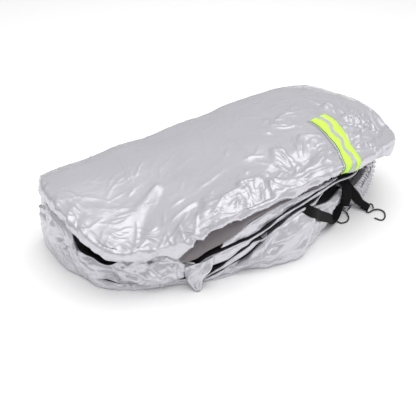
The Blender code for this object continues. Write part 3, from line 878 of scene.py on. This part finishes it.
# ---------------------------------------------------------------- the folds under it
# Each fold lies between a top line and a bottom line, both from left to right.
INNER_TOP = (
    (-310, -60, 110), (-260, -100, 120), (-205, -110, 142), (-165, -115, 160), (-100, -125, 174),
    (-35, -130, 182), (55, -135, 186), (120, -130, 188), (170, -110, 186), (200, -80, 184),
)
INNER_BOTTOM = (
    (-310, -80, 75), (-260, -130, 74), (-230, -150, 83), (-205, -155, 96), (-165, -165, 112),
    (-140, -170, 124), (-100, -170, 143), (-35, -175, 161), (55, -170, 166), (110, -170, 168),
    (170, -140, 172), (200, -100, 172),
)
ROLL_TOP = (
    (-165, -160, 111), (-140, -165, 122), (-100, -170, 141), (-70, -170, 149), (-35, -170, 158),
    (10, -170, 163), (55, -170, 164), (100, -170, 165), (165, -160, 167),
)
ROLL_BOTTOM = (
    (-170, -160, 95), (-150, -165, 100), (-125, -165, 101), (-100, -170, 105), (-80, -170, 108),
    (-50, -170, 120), (-20, -175, 134), (10, -170, 140), (45, -170, 146), (75, -170, 152), (120, -170, 159),
    (165, -160, 164.5),
)
THIRD_TOP = (
    (-235, -140, 50), (-220, -150, 67), (-200, -155, 79), (-170, -165, 89), (-125, -170, 95),
    (-100, -175, 100), (-80, -175, 104), (-50, -180, 116), (-25, -180, 130), (5, -180, 138),
    (35, -180, 144), (75, -175, 149), (120, -170, 155), (165, -165, 158), (220, -160, 153),
    (280, -130, 146),
)
THIRD_BOTTOM = (
    (-225, -145, 21), (-210, -150, 37), (-195, -155, 49), (-175, -165, 58), (-150, -170, 65),
    (-125, -170, 76), (-105, -175, 88), (-95, -175, 96), (-70, -175, 100), (-35, -180, 119), (0, -180, 125),
    (15, -180, 136), (35, -180, 142), (75, -175, 146), (120, -170, 152), (165, -165, 155), (220, -160, 150),
    (280, -130, 143),
)
FOURTH_TOP = (
    (-215, -150, 15), (-190, -160, 33), (-170, -165, 43), (-155, -170, 57), (-130, -175, 70),
    (-105, -180, 84), (-95, -180, 90), (-75, -185, 93), (-45, -190, 110), (-20, -190, 119), (-5, -190, 128),
    (20, -190, 136), (45, -185, 136), (80, -180, 135), (120, -165, 142),
)
FOURTH_BOTTOM = (
    (-210, -150, 12), (-185, -160, 27), (-155, -170, 41), (-130, -175, 53), (-105, -180, 66),
    (-75, -185, 90), (-45, -190, 107), (-15, -190, 116), (15, -190, 129), (45, -185, 131), (80, -180, 131),
    (120, -165, 139),
)
add_fold("cover_inner_face", mm(INNER_TOP), mm(INNER_BOTTOM), 0.003, 0.04,
         coarse=0.048, fine=0.075, seed=31, stretch=3, finish=inner_cloth)
add_fold("cover_upper_roll", mm(ROLL_TOP), mm(ROLL_BOTTOM), 0.006, 0.07,
         coarse=0.064, fine=0.125, seed=41, stretch=3)
add_fold("cover_third_fold", mm(THIRD_TOP), mm(THIRD_BOTTOM), 0.004, 0.07,
         coarse=0.064, fine=0.15, seed=51, stretch=2.5)
add_fold("cover_fourth_fold", mm(FOURTH_TOP), mm(FOURTH_BOTTOM), 0.004, 0.07,
         coarse=0.08, fine=0.2, seed=61, stretch=2)


def on_floor(plan):
    """A line in plan, in millimetres, as a line in metres 1 mm above the floor."""
    return mm([(x, y, 1) for x, y in plan])


BULGE_TOP = (
    (-205, -145, 6), (-180, -155, 18), (-145, -160, 30), (-120, -165, 38), (-95, -170, 50), (-75, -180, 79),
    (-50, -185, 103), (-25, -190, 115), (10, -190, 126), (45, -185, 127), (75, -175, 120), (125, -160, 100),
    (175, -140, 83), (215, -120, 76), (255, -100, 70),
)
BULGE_BOTTOM = (
    (-210, -140), (-170, -160), (-135, -165), (-105, -165), (-70, -180), (-40, -190), (-10, -195),
    (45, -190), (95, -170), (165, -135), (225, -110), (270, -100),
)
BULGE_MARKS = (
    (11.2, 9, (-120, -170, 30), (-70, -190, 45), (0, -200, 50)),
    (13.1, 9, (-60, -195, 70), (-5, -200, 95), (85, -180, 100)),
    (-11.2, 7, (-90, -185, 50), (-30, -200, 70), (60, -190, 80)),
    (-13.1, 5, (5, -205, 40), (25, -195, 55), (50, -190, 72)),
    (11.2, 7, (20, -205, 32), (45, -195, 45), (70, -185, 58)),
    (-11.2, 5, (-30, -200, 30), (-5, -200, 57)),
    (-14, 6, (90, -175, 54), (110, -165, 48), (135, -150, 41)),
    (13.1, 6, (80, -180, 66), (110, -170, 62), (140, -150, 52)),
    (-7.5, 3, (-195, -150, 5), (-150, -160, 6), (-115, -175, 14)),
    (-7.5, 3, (-145, -165, 28), (-130, -170, 19)),
    (-7.5, 4, (-110, -180, 12), (-40, -200, 21), (20, -205, 28)),
    (11.2, 6, (110, -165, 100), (160, -145, 85), (200, -120, 60)),
    (-13.1, 6, (130, -160, 85), (170, -140, 62), (200, -120, 30)),
)
add_fold("cover_front_bulge", mm(BULGE_TOP), on_floor(BULGE_BOTTOM), mm((3, 7, 12, 13, 10, 6, 5)), 0.06,
         coarse=0.576, fine=0.275, seed=71, stretch=3.2, lean=-20, size=0.75, crinkled=0.15,
         marks=BULGE_MARKS)


# ---------------------------------------------------------------- the left end
# Its lines run from the rear round to the front.
WRAP_TOP = (
    (-445, 200, 180), (-450, 165, 176), (-455, 145, 172), (-455, 125, 150), (-455, 110, 150),
    (-450, 75, 146), (-445, 55, 146), (-440, 35, 142), (-440, 25, 110), (-435, 15, 85), (-430, 0, 82),
    (-420, -20, 82), (-410, -35, 73), (-395, -45, 66), (-380, -60, 78), (-355, -75, 92), (-320, -90, 98),
    (-295, -105, 96), (-270, -120, 86), (-245, -130, 72), (-225, -140, 62),
)
WRAP_BOTTOM = (
    (-460, 200, 105), (-465, 145, 100), (-460, 95, 82), (-460, 65, 64), (-450, 40, 44), (-435, 10, 30),
    (-425, -15, 24), (-400, -40, 21), (-380, -60, 15), (-350, -80, 16), (-320, -100, 18), (-290, -115, 19),
    (-265, -125, 20), (-240, -135, 38), (-225, -140, 50),
)
WRAP_MARKS = (
    (7.8, 4, (-370, -70, 66), (-350, -75, 52), (-325, -100, 36)),
    (7.8, 4, (-320, -95, 62), (-300, -110, 43)),
    (7.8, 4, (-290, -110, 62), (-280, -120, 43)),
    (-7.8, 5, (-350, -80, 66), (-330, -95, 50)),
    (11.7, 5, (-440, -5, 95), (-420, -35, 85), (-390, -60, 62)),
    (-9.7, 4, (-435, -10, 80), (-415, -45, 66), (-390, -60, 50)),
    (7.8, 6, (-445, 0, 62), (-425, -35, 55), (-405, -55, 40)),
    (-17, 5, (-455, 60, 125), (-460, 50, 80), (-450, 30, 45), (-430, -10, 28)),
    (-13.7, 5, (-455, 130, 125), (-465, 120, 90), (-470, 120, 70)),
    (-10.4, 6, (-460, 70, 130), (-465, 60, 90)),
    (11.7, 7, (-465, 90, 120), (-470, 90, 80), (-470, 100, 40)),
    (9.7, 5, (-450, 40, 130), (-460, 35, 83)),
    (-11.7, 3, (-360, -70, 82), (-345, -80, 80)),
    (-11.7, 3, (-325, -95, 86), (-295, -105, 84)),
    (11.7, 4, (-455, 100, 130), (-460, 80, 128), (-465, 75, 114)),
    (13.7, 5, (-450, 140, 136), (-455, 120, 126), (-460, 105, 119)),
    (10, 7, (-415, -30, 60), (-375, -60, 45), (-325, -95, 28)),
    (-10, 6, (-400, -45, 62), (-355, -80, 48), (-305, -105, 32)),
    (9, 6, (-380, -60, 66), (-335, -90, 52), (-285, -115, 36)),
    (-9, 6, (-345, -80, 80), (-300, -105, 60), (-260, -125, 44)),
)
BASE_TOP = (
    (-445, 205, 116), (-455, 145, 112), (-455, 95, 94), (-450, 65, 76), (-440, 40, 54), (-430, 10, 36),
    (-420, -15, 24), (-400, -40, 18), (-375, -55, 12), (-345, -75, 13), (-320, -95, 14), (-290, -110, 15),
    (-260, -125, 16), (-235, -140, 20),
)
BASE_BOTTOM = (
    (-455, 210), (-460, 170), (-460, 115), (-455, 70), (-430, 15), (-410, -30), (-320, -95), (-260, -125),
    (-235, -140),
)
BASE_MARKS = (
    (-6, 6, (-468, 120, 80), (-466, 122, 30)),
    (-6, 6, (-466, 78, 60), (-465, 82, 16)),
)
add_fold("cover_left_wrap", mm(WRAP_TOP), mm(WRAP_BOTTOM), 0.006, 0.05,
         coarse=0.64, fine=0.45, seed=81, stretch=2, lean=-10, size=0.7, slope=0.03, crinkled=0.2,
         marks=WRAP_MARKS)
add_fold("cover_left_base", mm(BASE_TOP), on_floor(BASE_BOTTOM), 0.006, 0.05,
         coarse=0.224, fine=0.25, seed=91, stretch=3, marks=BASE_MARKS)


# ---------------------------------------------------------------- the rear and the right end
# In plan, from the right end round the rear to the left one.
REAR_PATH = (
    (448, -15), (460, 25), (470, 90), (466, 150), (445, 183), (400, 195), (300, 203), (100, 207),
    (-100, 208), (-300, 208), (-420, 206), (-448, 195), (-452, 170), (-438, 130),
)
REAR_STOPS = (0.0, 0.36, 0.68, 1.0)  # where the three rear folds meet, as shares of the height there
REAR_UNDER = 0.024  # how far the highest one lies below the top layer


def rear_line(share, drop):
    """A line round the rear and right end at a share of the height there, lowered a little."""
    line = mm(REAR_PATH)
    height = crest_height(line[:, 0], np.ones(len(line))) - REAR_UNDER
    return np.column_stack([line, np.maximum(height * share - drop, 0.001)])


for number, (low, high) in enumerate(zip(REAR_STOPS, REAR_STOPS[1:])):
    add_fold(f"cover_rear_fold_{number + 1}", rear_line(high, 0.002), rear_line(low, -0.001), 0.009, 0.06,
             coarse=0.256, fine=0.35, seed=101 + number, stretch=2.2)


# ---------------------------------------------------------------- gathered hem of the right end
HEM_TOP = (
    (260, -100, 22), (285, -100, 30), (305, -95, 46), (335, -85, 46), (360, -75, 46), (385, -65, 52),
    (400, -60, 68), (415, -40, 100), (430, -20, 125),
)
HEM_BOTTOM = (
    (270, -115, 1), (290, -115, 1), (310, -115, 1), (345, -105, 4), (375, -90, 12), (410, -70, 20),
    (435, -50, 40), (445, -40, 70), (455, -20, 100),
)
GATHER = 0.011  # the hem's elastic draws it into gathers about this wide
GATHER_RISE = 0.0034
GATHER_DRAW = 1.3  # how many times longer the hem is before it is gathered
HEM_STITCH_SHARE = 0.38  # where the stitches run, as a share of the way over the hem
HEM_STITCH_FROM = 0.34  # the x that they start at


def gathered_hem():
    """The hem with its gathers, and its points row by row."""
    grid, flat, share, (wide, long) = fold_grid(mm(HEM_TOP), mm(HEM_BOTTOM), 0.006, 0.02, 0.0)
    wander = sway(flat, 0.03, seed=7)[:, 0]
    gathers = GATHER_RISE * np.sin((flat[:, 0] + 0.35 * wander) * 2 * math.pi / GATHER)
    rise = gathers * np.clip(0.35 + share, 0, 1)
    rise += crumpled(flat, 0.10, 0.12, seed=131, stretch=1.5, lean=80) * share
    cut = (wide, long * GATHER_DRAW)
    obj, _, points = add_sheet("cover_gathered_hem", grid, flat, rise, silver_cloth, 0.3, cut, "gathered")
    return obj, points.reshape(grid.shape)


hem, hem_grid = gathered_hem()


# ---------------------------------------------------------------- tail of the third fold
# Four places across it in each row, from its root down to its tip.
TAIL = (
    ((-251, -140, 63), (-231, -156, 76), (-210, -166, 83), (-188, -166, 91)),
    ((-253, -142, 40), (-240, -156, 53), (-219, -166, 58), (-199, -166, 56)),
    ((-252, -145, 26), (-243, -155, 34), (-229, -163, 36), (-213, -163, 36)),
    ((-247, -150, 14), (-241, -158, 18), (-232, -164, 19), (-221, -164, 20)),
    ((-241, -158, 6), (-237, -163, 8), (-231, -166, 8), (-225, -165, 9)),
    ((-238, -164, 2), (-235, -166, 3), (-232, -167, 3), (-229, -166, 2)),
)
TAIL_MARKS = (
    (-9, 4, (-195, -168, 72), (-222, -166, 42), (-240, -163, 12)),
    (7, 4, (-205, -168, 78), (-232, -164, 45), (-248, -160, 12)),
    (-6, 3, (-230, -158, 68), (-250, -150, 35), (-254, -150, 8)),
    (6, 3, (-200, -165, 65), (-215, -164, 40), (-228, -164, 18)),
    (-6, 3, (-215, -160, 80), (-238, -157, 50), (-243, -158, 25)),
)
TAIL_DOWN, TAIL_OVER = 44, 32  # its points down and across
TAIL_CUT = (0.06, 0.11)
TAIL_PATTERN = (0.07, 0.11)  # what its threads and crumple are drawn on, a little wider than the cut
PLEAT, PLEAT_RISE = 0.024, 0.0030


def add_tail():
    """The twisted end that hangs down at the front, with pleats along it."""
    rows = mm(TAIL)
    lines = np.stack([smooth_line(rows[:, k], TAIL_DOWN) for k in range(rows.shape[1])], 1)
    grid = np.stack([smooth_line(line, TAIL_OVER) for line in lines])
    wide, long = TAIL_PATTERN
    flat = flat_grid(np.linspace(0, long, TAIL_DOWN), np.linspace(0, wide, TAIL_OVER))
    pleat = np.sin(flat[:, 1] * 2 * math.pi / PLEAT + flat[:, 0] * 9 + 1.0)
    fade = np.sin(np.linspace(0.25, math.pi - 0.1, TAIL_DOWN)).repeat(TAIL_OVER)
    rise = PLEAT_RISE * pleat * fade + crumpled(flat, 0.10, 0.15, seed=121, stretch=3, lean=5)
    rise += creased(grid.reshape(-1, 3), TAIL_MARKS)
    add_sheet("cover_tail", grid, flat, rise, silver_cloth, 0.6, TAIL_CUT)


add_tail()


# ---------------------------------------------------------------- inner plies
# Where the plies start behind the front folds, as (x, y).
PLY_FRONT = (
    (-445, 60), (-400, 0), (-300, -50), (-200, -100), (0, -130), (80, -120), (140, -100), (240, -65),
    (330, -20), (420, 30), (455, 70),
)
PLY_LEVELS = 7
PLY_REAR = 0.185
PLY_UNDER = 0.028  # from the top layer down to the roof over the plies
RUN_POINTS = 12
PLY_STATIONS = np.linspace(-0.44, 0.45, 40)
TOP_FROM, TOP_TO = -0.17, 0.20  # the y of the top layer's front and rear


def add_plies():
    """The cloth inside the bundle, folded back and forth from the front to the rear, level by level,
    coloured dark with painted shade.
    """
    forth = np.linspace(0, 1, RUN_POINTS)
    share = np.concatenate([forth if level % 2 == 0 else 1 - forth for level in range(PLY_LEVELS)])
    rise_share = (np.arange(PLY_LEVELS) + 0.5).repeat(RUN_POINTS) / PLY_LEVELS
    rows = []
    for x in PLY_STATIONS:
        first = np.interp(x, *mm(PLY_FRONT).T)
        y = first + (PLY_REAR - first) * share
        along = np.full(len(y), x)
        roof = crest_height(along, np.clip((y - TOP_FROM) / (TOP_TO - TOP_FROM), 0, 1)) - PLY_UNDER
        rows.append(np.column_stack([along, y, roof * rise_share]))
    across = lengths(rows[len(rows) // 2])
    flat = flat_grid(PLY_STATIONS, across)
    cut = (np.ptp(PLY_STATIONS), across[-1])
    add_sheet("cover_inner_plies", np.array(rows), flat, np.zeros(len(flat)), painted_shade_cloth, 0.6, cut)


add_plies()


# ---------------------------------------------------------------- tape
class Unrolled:
    """Finds the place on a crumpled sheet that belongs to a place in its flat pattern."""

    def __init__(self, points, faces, flat):
        self.points, self.faces, self.flat = points, faces, flat
        self.out = normals(points, faces)
        self.tree = BVHTree.FromPolygons([(x, y, 0.0) for x, y in flat], faces.tolist())

    def place(self, x, y, room):
        """The place on the sheet, this much room above it, for a place in the pattern."""
        hit, _, face, _ = self.tree.find_nearest((x, y, 0))
        corners = self.faces[face]
        near = 1 / (np.linalg.norm(self.flat[corners] - (hit.x, hit.y), axis=1) + 1e-5) ** 2
        near /= near.sum()
        return near @ self.points[corners] + near @ self.out[corners] * room


TAPE_WIDTH = 0.055
TAPE_POINTS, STITCH_LINE_POINTS = 90, 60
TAPE_COLUMNS = 22
# The tape's left and right edges down the top layer's pattern: left x and y, right x and y.
TAPE_ROWS = (
    (208, -7, 266, 3), (213, -34, 269, -23), (210, -64, 265, -50), (203, -91, 257, -75),
    (195, -123, 249, -102), (184, -155, 238, -132), (173, -178, 229, -160), (162, -200, 214, -192),
)
# The reflective band's middle sways a little along the tape, because the tape is rumpled.
BAND_SWAY = (-0.02, 0.06, 0.05, -0.08, 0.02, 0.09, -0.05, -0.06, 0.05, 0.03, 0.0)
top_flat = Unrolled(top_points, top_faces, top_places)


def tape_edges(count):
    """The tape's left and right edge in the top layer's pattern."""
    table = mm(TAPE_ROWS)
    return smooth_line(table[:, :2], count), smooth_line(table[:, 2:], count)


def tape_sheet(name, low, high, room, finish, thick, sways):
    """A sheet laid on the top layer between two shares of the tape's width, and its flat size."""
    shift = through(np.linspace(0, 1, len(sways)), sways, np.linspace(0, 1, TAPE_POINTS))
    shares = np.linspace(low, high, max(5, int((high - low) * TAPE_COLUMNS)))
    rows = []
    for left, right, moved in zip(*tape_edges(TAPE_POINTS), shift):
        rows.append([top_flat.place(*(left + (right - left) * (share + moved)), room) for share in shares])
    grid = np.array(rows)
    long, wide = lengths(grid.mean(1)), np.linspace(0, (high - low) * TAPE_WIDTH, len(shares))
    faces = grid_faces(*grid.shape[:2])
    obj = add_cloth(name, grid.reshape(-1, 3), faces, flat_grid(long, wide), finish, thick)
    return obj, wide[-1], long[-1]


tape = tape_sheet("tape_yellow", 0.0, 1.0, 0.0014, yellow_tape, 0.0007, (0.0, 0.0))
band = tape_sheet("tape_reflective_band", 0.39, 0.62, 0.0022, beaded_band, 0.0006, BAND_SWAY)


# ---------------------------------------------------------------- straps and hooks
# Each row is a place in millimetres and the way that the strap's face looks there.
STRAP_LEFT = (
    ((40, -165, 132), (0.00, -0.40, 0.90)), ((57, -188, 124), (-0.10, -0.80, 0.55)),
    ((89, -184, 100), (-0.20, -0.75, 0.55)), ((120, -170, 72), (-0.20, -0.75, 0.55)),
    ((150, -156, 45), (-0.20, -0.70, 0.60)), ((180, -147, 18), (-0.10, -0.60, 0.75)),
    ((210, -134, 4), (0.00, -0.20, 0.97)), ((238, -120, 3), (0.00, 0.00, 1.00)),
)
STRAP_MIDDLE = (
    ((248, -94, 121), (-0.20, -0.80, 0.55)), ((250, -98, 110), (-0.30, -0.80, 0.50)),
    ((254, -120, 84), (-0.50, -0.80, 0.33)), ((256, -127, 50), (-0.52, -0.83, 0.20)),
    ((257.3, -124.2, 30), (-0.50, -0.75, 0.43)), ((258, -123, 20), (-0.50, -0.75, 0.43)),
)
STRAP_RIGHT = (
    ((283, -78, 70), (-0.30, -0.50, 0.81)), ((288, -100, 56), (-0.40, -0.70, 0.59)),
    ((299, -120, 34), (-0.40, -0.65, 0.65)), ((309, -134, 18), (-0.20, -0.30, 0.93)),
    ((316, -144, 12.6), (-0.10, -0.20, 0.97)), ((321, -152, 9.4), (-0.10, -0.20, 0.97)),
)
WEBBING_WIDTH = 0.025
WEBBING_THICK = 0.0018
WEBBING_ROOM = 0.0012  # from the webbing's middle to the cloth
WEBBING_COLUMNS = 9
STRAP_STEP = 0.003
STAND_SPREAD = 4  # how many steps on, either way, a strap keeps the room that it needs at one place
FLOOR_GAP = 0.0004
BURIED = 0.03  # a place less than this far behind a sheet's face counts as inside the cloth
LOOP_BACK = 0.018  # how far a strap's sewn end runs back behind it
LOOP_ROOM = 0.0024  # from the hook's wire middle to the webbing's inner face


def surface_of(obj):
    """The search tree of an object's plain mesh."""
    mesh = obj.data
    return BVHTree.FromPolygons([v.co for v in mesh.vertices], [tuple(f.vertices) for f in mesh.polygons])


def clear_of(trees, point, room):
    """The nearest place to a point that is clear of the sheets and the floor."""
    place = Vector(point)
    for tree in trees:
        hit, normal, _, distance = tree.find_nearest(place)
        behind = (place - hit).dot(normal) < 0 and distance < BURIED
        if behind or distance < room:
            place = hit + normal * room
    place.z = max(place.z, FLOOR_GAP)
    return np.array(place)


def sewn_loop(end, run, way):
    """The places where a strap turns back round its hook's wire and runs back behind itself."""
    middle = end - way * LOOP_ROOM
    turns = [math.pi * k / 6 for k in range(1, 7)]
    round_wire = [middle + LOOP_ROOM * (way * math.cos(turn) + run * math.sin(turn)) for turn in turns]
    return round_wire + [round_wire[-1] - run * LOOP_BACK * k / 4 - way * 0.0004 * k for k in range(1, 5)]


def add_strap(name, rows, trees, looped):
    """A strap of webbing laid clear of the cloth, and its flat size."""
    route, ways = mm([place for place, _ in rows]), np.array([way for _, way in rows])
    at = lengths(route)
    stops = np.linspace(0, at[-1], int(at[-1] / STRAP_STEP))
    path = through(at, route, stops)
    runs = unit(np.gradient(path, axis=0))
    ways = through(at, ways, stops)
    ways = unit(ways - runs * (runs * ways).sum(1, keepdims=True))
    across = np.cross(ways, runs)
    shares = np.linspace(-0.5, 0.5, WEBBING_COLUMNS) * WEBBING_WIDTH
    grid = path[:, None] + across[:, None] * shares[:, None]
    # It stands off the cloth by the most that any place near needs, evened out along it.
    stand = []
    for row in grid:
        stand.append(max(np.linalg.norm(clear_of(trees, place, WEBBING_ROOM) - place) for place in row))
    padded = np.pad(stand, STAND_SPREAD, mode="edge")
    stand = np.max([padded[k:k + len(stand)] for k in range(2 * STAND_SPREAD + 1)], axis=0)
    for _ in range(30):
        stand[1:-1] = (stand[:-2] + 2 * stand[1:-1] + stand[2:]) / 4
    grid = grid + (ways * stand[:, None])[:, None]
    grid[..., 2] = np.maximum(grid[..., 2], FLOOR_GAP)
    if looped:
        loop = np.array(sewn_loop(path[-1], runs[-1], ways[-1]))
        grid = np.concatenate([grid, loop[:, None] + across[-1] * shares[:, None]])
    long = lengths(grid[:, WEBBING_COLUMNS // 2])
    flat = flat_grid(long, shares - shares[0])
    faces = grid_faces(*grid.shape[:2])
    obj = add_cloth(name, grid.reshape(-1, 3), faces, flat, black_webbing, WEBBING_THICK)
    obj.modifiers[0].offset = 1
    return obj, WEBBING_WIDTH, long[-1]


webbing_left = add_strap("webbing_left", STRAP_LEFT, [surface_of(sheet) for sheet in sheets], False)
webbing_middle = add_strap("webbing_middle", STRAP_MIDDLE, [], True)
webbing_right = add_strap("webbing_right", STRAP_RIGHT, [], True)
for node in ("hook_middle", "hook_right"):
    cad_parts[node].data.materials[0] = black_wire


# ---------------------------------------------------------------- stitches
def stitch_tree():
    """Short round threads set end to end along a line."""
    tree = bpy.data.node_groups.new("stitches along a line", "GeometryNodeTree")
    tree.interface.new_socket("Line", in_out="INPUT", socket_type="NodeSocketGeometry")
    for label in ("Pitch", "Length", "Thread radius"):
        tree.interface.new_socket(label, in_out="INPUT", socket_type="NodeSocketFloat")
    tree.interface.new_socket("Thread", in_out="INPUT", socket_type="NodeSocketMaterial")
    tree.interface.new_socket("Stitches", in_out="OUTPUT", socket_type="NodeSocketGeometry")
    given = add_node(tree, "NodeGroupInput").outputs
    line = add_node(tree, "GeometryNodeMeshToCurve", i0=given["Line"]).outputs[0]
    evenly = add_node(tree, "GeometryNodeResampleCurve", {"mode": "LENGTH"},
                      Curve=line, Length=given["Pitch"])
    thread = add_node(tree, "GeometryNodeMeshCylinder", {"Vertices": 6},
                      Radius=given["Thread radius"], Depth=given["Length"])
    along = add_node(tree, "GeometryNodeInputTangent").outputs[0]
    turned = add_node(tree, "FunctionNodeAlignRotationToVector", {"axis": "Z"}, Vector=along)
    placed = add_node(tree, "GeometryNodeInstanceOnPoints",
                      Points=evenly.outputs[0], Instance=thread.outputs[0], Rotation=turned.outputs[0])
    real = add_node(tree, "GeometryNodeRealizeInstances", i0=placed.outputs[0])
    coloured = add_node(tree, "GeometryNodeSetMaterial", i0=real.outputs[0], Material=given["Thread"])
    add_node(tree, "NodeGroupOutput", i0=coloured.outputs[0])
    return tree


STITCHES = stitch_tree()


def add_stitches(name, lines, pitch, length, radius, thread):
    """Rows of stitches along lines of points."""
    points, edges = [], []
    for line in lines:
        edges += [(len(points) + k, len(points) + k + 1) for k in range(len(line) - 1)]
        points += [tuple(place) for place in line]
    mesh = bpy.data.meshes.new(name)
    mesh.from_pydata(points, edges, [])
    raw = add_object(name + "_lines", mesh)
    rule = raw.modifiers.new("stitches", "NODES")
    rule.node_group = STITCHES
    given = {"Pitch": pitch, "Length": length, "Thread radius": radius, "Thread": thread}
    for socket in STITCHES.interface.items_tree:
        if socket.in_out == "INPUT" and socket.name in given:
            rule[socket.identifier] = given[socket.name]
    done = bpy.data.meshes.new_from_object(raw.evaluated_get(bpy.context.evaluated_depsgraph_get()))
    bpy.data.objects.remove(raw)
    done.name = name
    obj = add_object(name, done)
    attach(obj, "root")
    return obj


def tape_line(share, room):
    """A line along the tape at a share of its width, or beside it below 0 or above 1."""
    edges = zip(*tape_edges(STITCH_LINE_POINTS))
    return [top_flat.place(*(left + (right - left) * share), room) for left, right in edges]


# Real stitches are about 3 mm apart; these are about twice that, so that they show.
tape_stitches = add_stitches(
    "tape_stitches", [tape_line(share, 0.0026) for share in (0.06, 0.36, 0.66, 0.94)],
    pitch=0.006, length=0.004, radius=0.0005, thread=yellow_thread,
)
seam_stitches = add_stitches(
    "seam_stitches", [tape_line(-0.14, 0.0012)],
    pitch=0.007, length=0.004, radius=0.0008, thread=grey_thread,
)
hem_line = hem_grid[:, int(hem_grid.shape[1] * HEM_STITCH_SHARE)]
hem_line = hem_line[hem_line[:, 0] > HEM_STITCH_FROM]
hem_stitches = add_stitches(
    "hem_stitches", [hem_line + outward(hem_line) * 0.0015],
    pitch=0.008, length=0.0055, radius=0.0009, thread=black_thread,
)


def declare(piece, node):
    """Let a piece ride on the root, and hide the node that it stands for."""
    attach(piece, "root")
    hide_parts(node)


for (piece, wide, long), node, slot in (
    (tape, "reflective_tape", "safety_yellow"),
    (band, "reflective_band", "silver_reflector"),
    (webbing_left, "strap_left", "black_webbing"),
    (webbing_middle, "strap_middle", "black_webbing"),
    (webbing_right, "strap_right", "black_webbing"),
):
    declare(piece, node)
for piece, (wide, long, held) in sheets.items():
    declare(piece, "cover")


# ---------------------------------------------------------------- floor and light
FLOOR_HALF = 6.0
# The studio's ceiling is brightest a little to the camera's side, and its walls are darker.
BRIGHT_WAY = (0.270, -0.260, 0.927)
STUDIO_STRENGTH = 1.7
# How near a way is to the brightest one (1 is that way, 0 the opposite one), and how bright it is there.
STUDIO = (
    (0.0, 0.30), (0.45, 0.40), (0.56, 0.49), (0.68, 0.52), (0.88, 0.54), (0.925, 0.66), (0.95, 1.0),
    (0.97, 1.4), (1.0, 1.6),
)


def studio_light(name, place, aim, size, power):
    """A rectangular lamp aimed at a place."""
    lamp = add_object(name, bpy.data.lights.new(name, "AREA"))
    lamp.data.shape = "RECTANGLE"
    lamp.data.size, lamp.data.size_y = size
    lamp.data.energy = power
    lamp.location = place
    look_along(lamp, Vector(aim) - Vector(place))
    return lamp


def studio_world():
    """The light of the studio's walls and ceiling."""
    world = bpy.data.worlds.new("studio")
    world.use_nodes = True
    tree = world.node_tree
    facing = add_node(tree, "ShaderNodeTexCoord").outputs["Generated"]
    bright_way = {"operation": "DOT_PRODUCT", 1: BRIGHT_WAY}
    towards = add_node(tree, "ShaderNodeVectorMath", bright_way, i0=facing).outputs["Value"]
    nearness = add_node(tree, "ShaderNodeMapRange", {"From Min": -1.0}, Value=towards).outputs[0]
    wall = add_node(tree, "ShaderNodeValToRGB", Fac=nearness)
    while len(wall.color_ramp.elements) < len(STUDIO):
        wall.color_ramp.elements.new(0.5)
    for stop, (place, bright) in zip(wall.color_ramp.elements, STUDIO):
        stop.position = place
        stop.color = (bright / STUDIO_STRENGTH,) * 3 + (1.0,)
    fill_in(tree.nodes["Background"], {"Strength": STUDIO_STRENGTH}, Color=wall.outputs["Color"])
    return world


floor_mesh = bpy.data.meshes.new("floor")
floor_corners = [(FLOOR_HALF * x, FLOOR_HALF * y, 0) for x, y in ((-1, -1), (1, -1), (1, 1), (-1, 1))]
floor_mesh.from_pydata(floor_corners, [], [(0, 1, 2, 3)])
floor_mesh.materials.append(plain_finish("matt_white_paper", "FAFAFA", 0.9))
floor = add_object("floor", floor_mesh)
bpy.context.scene.world = studio_world()
studio_light("front_softbox", (-0.75, -1.25, 1.55), aim=(-0.05, -0.1, 0.05), size=(0.5, 0.4), power=1.0)
ceiling = studio_light("fill_ceiling", (0, 0, 3.0), aim=(0, 0, 0), size=(3.4, 3.4), power=66)
ceiling.visible_glossy = False
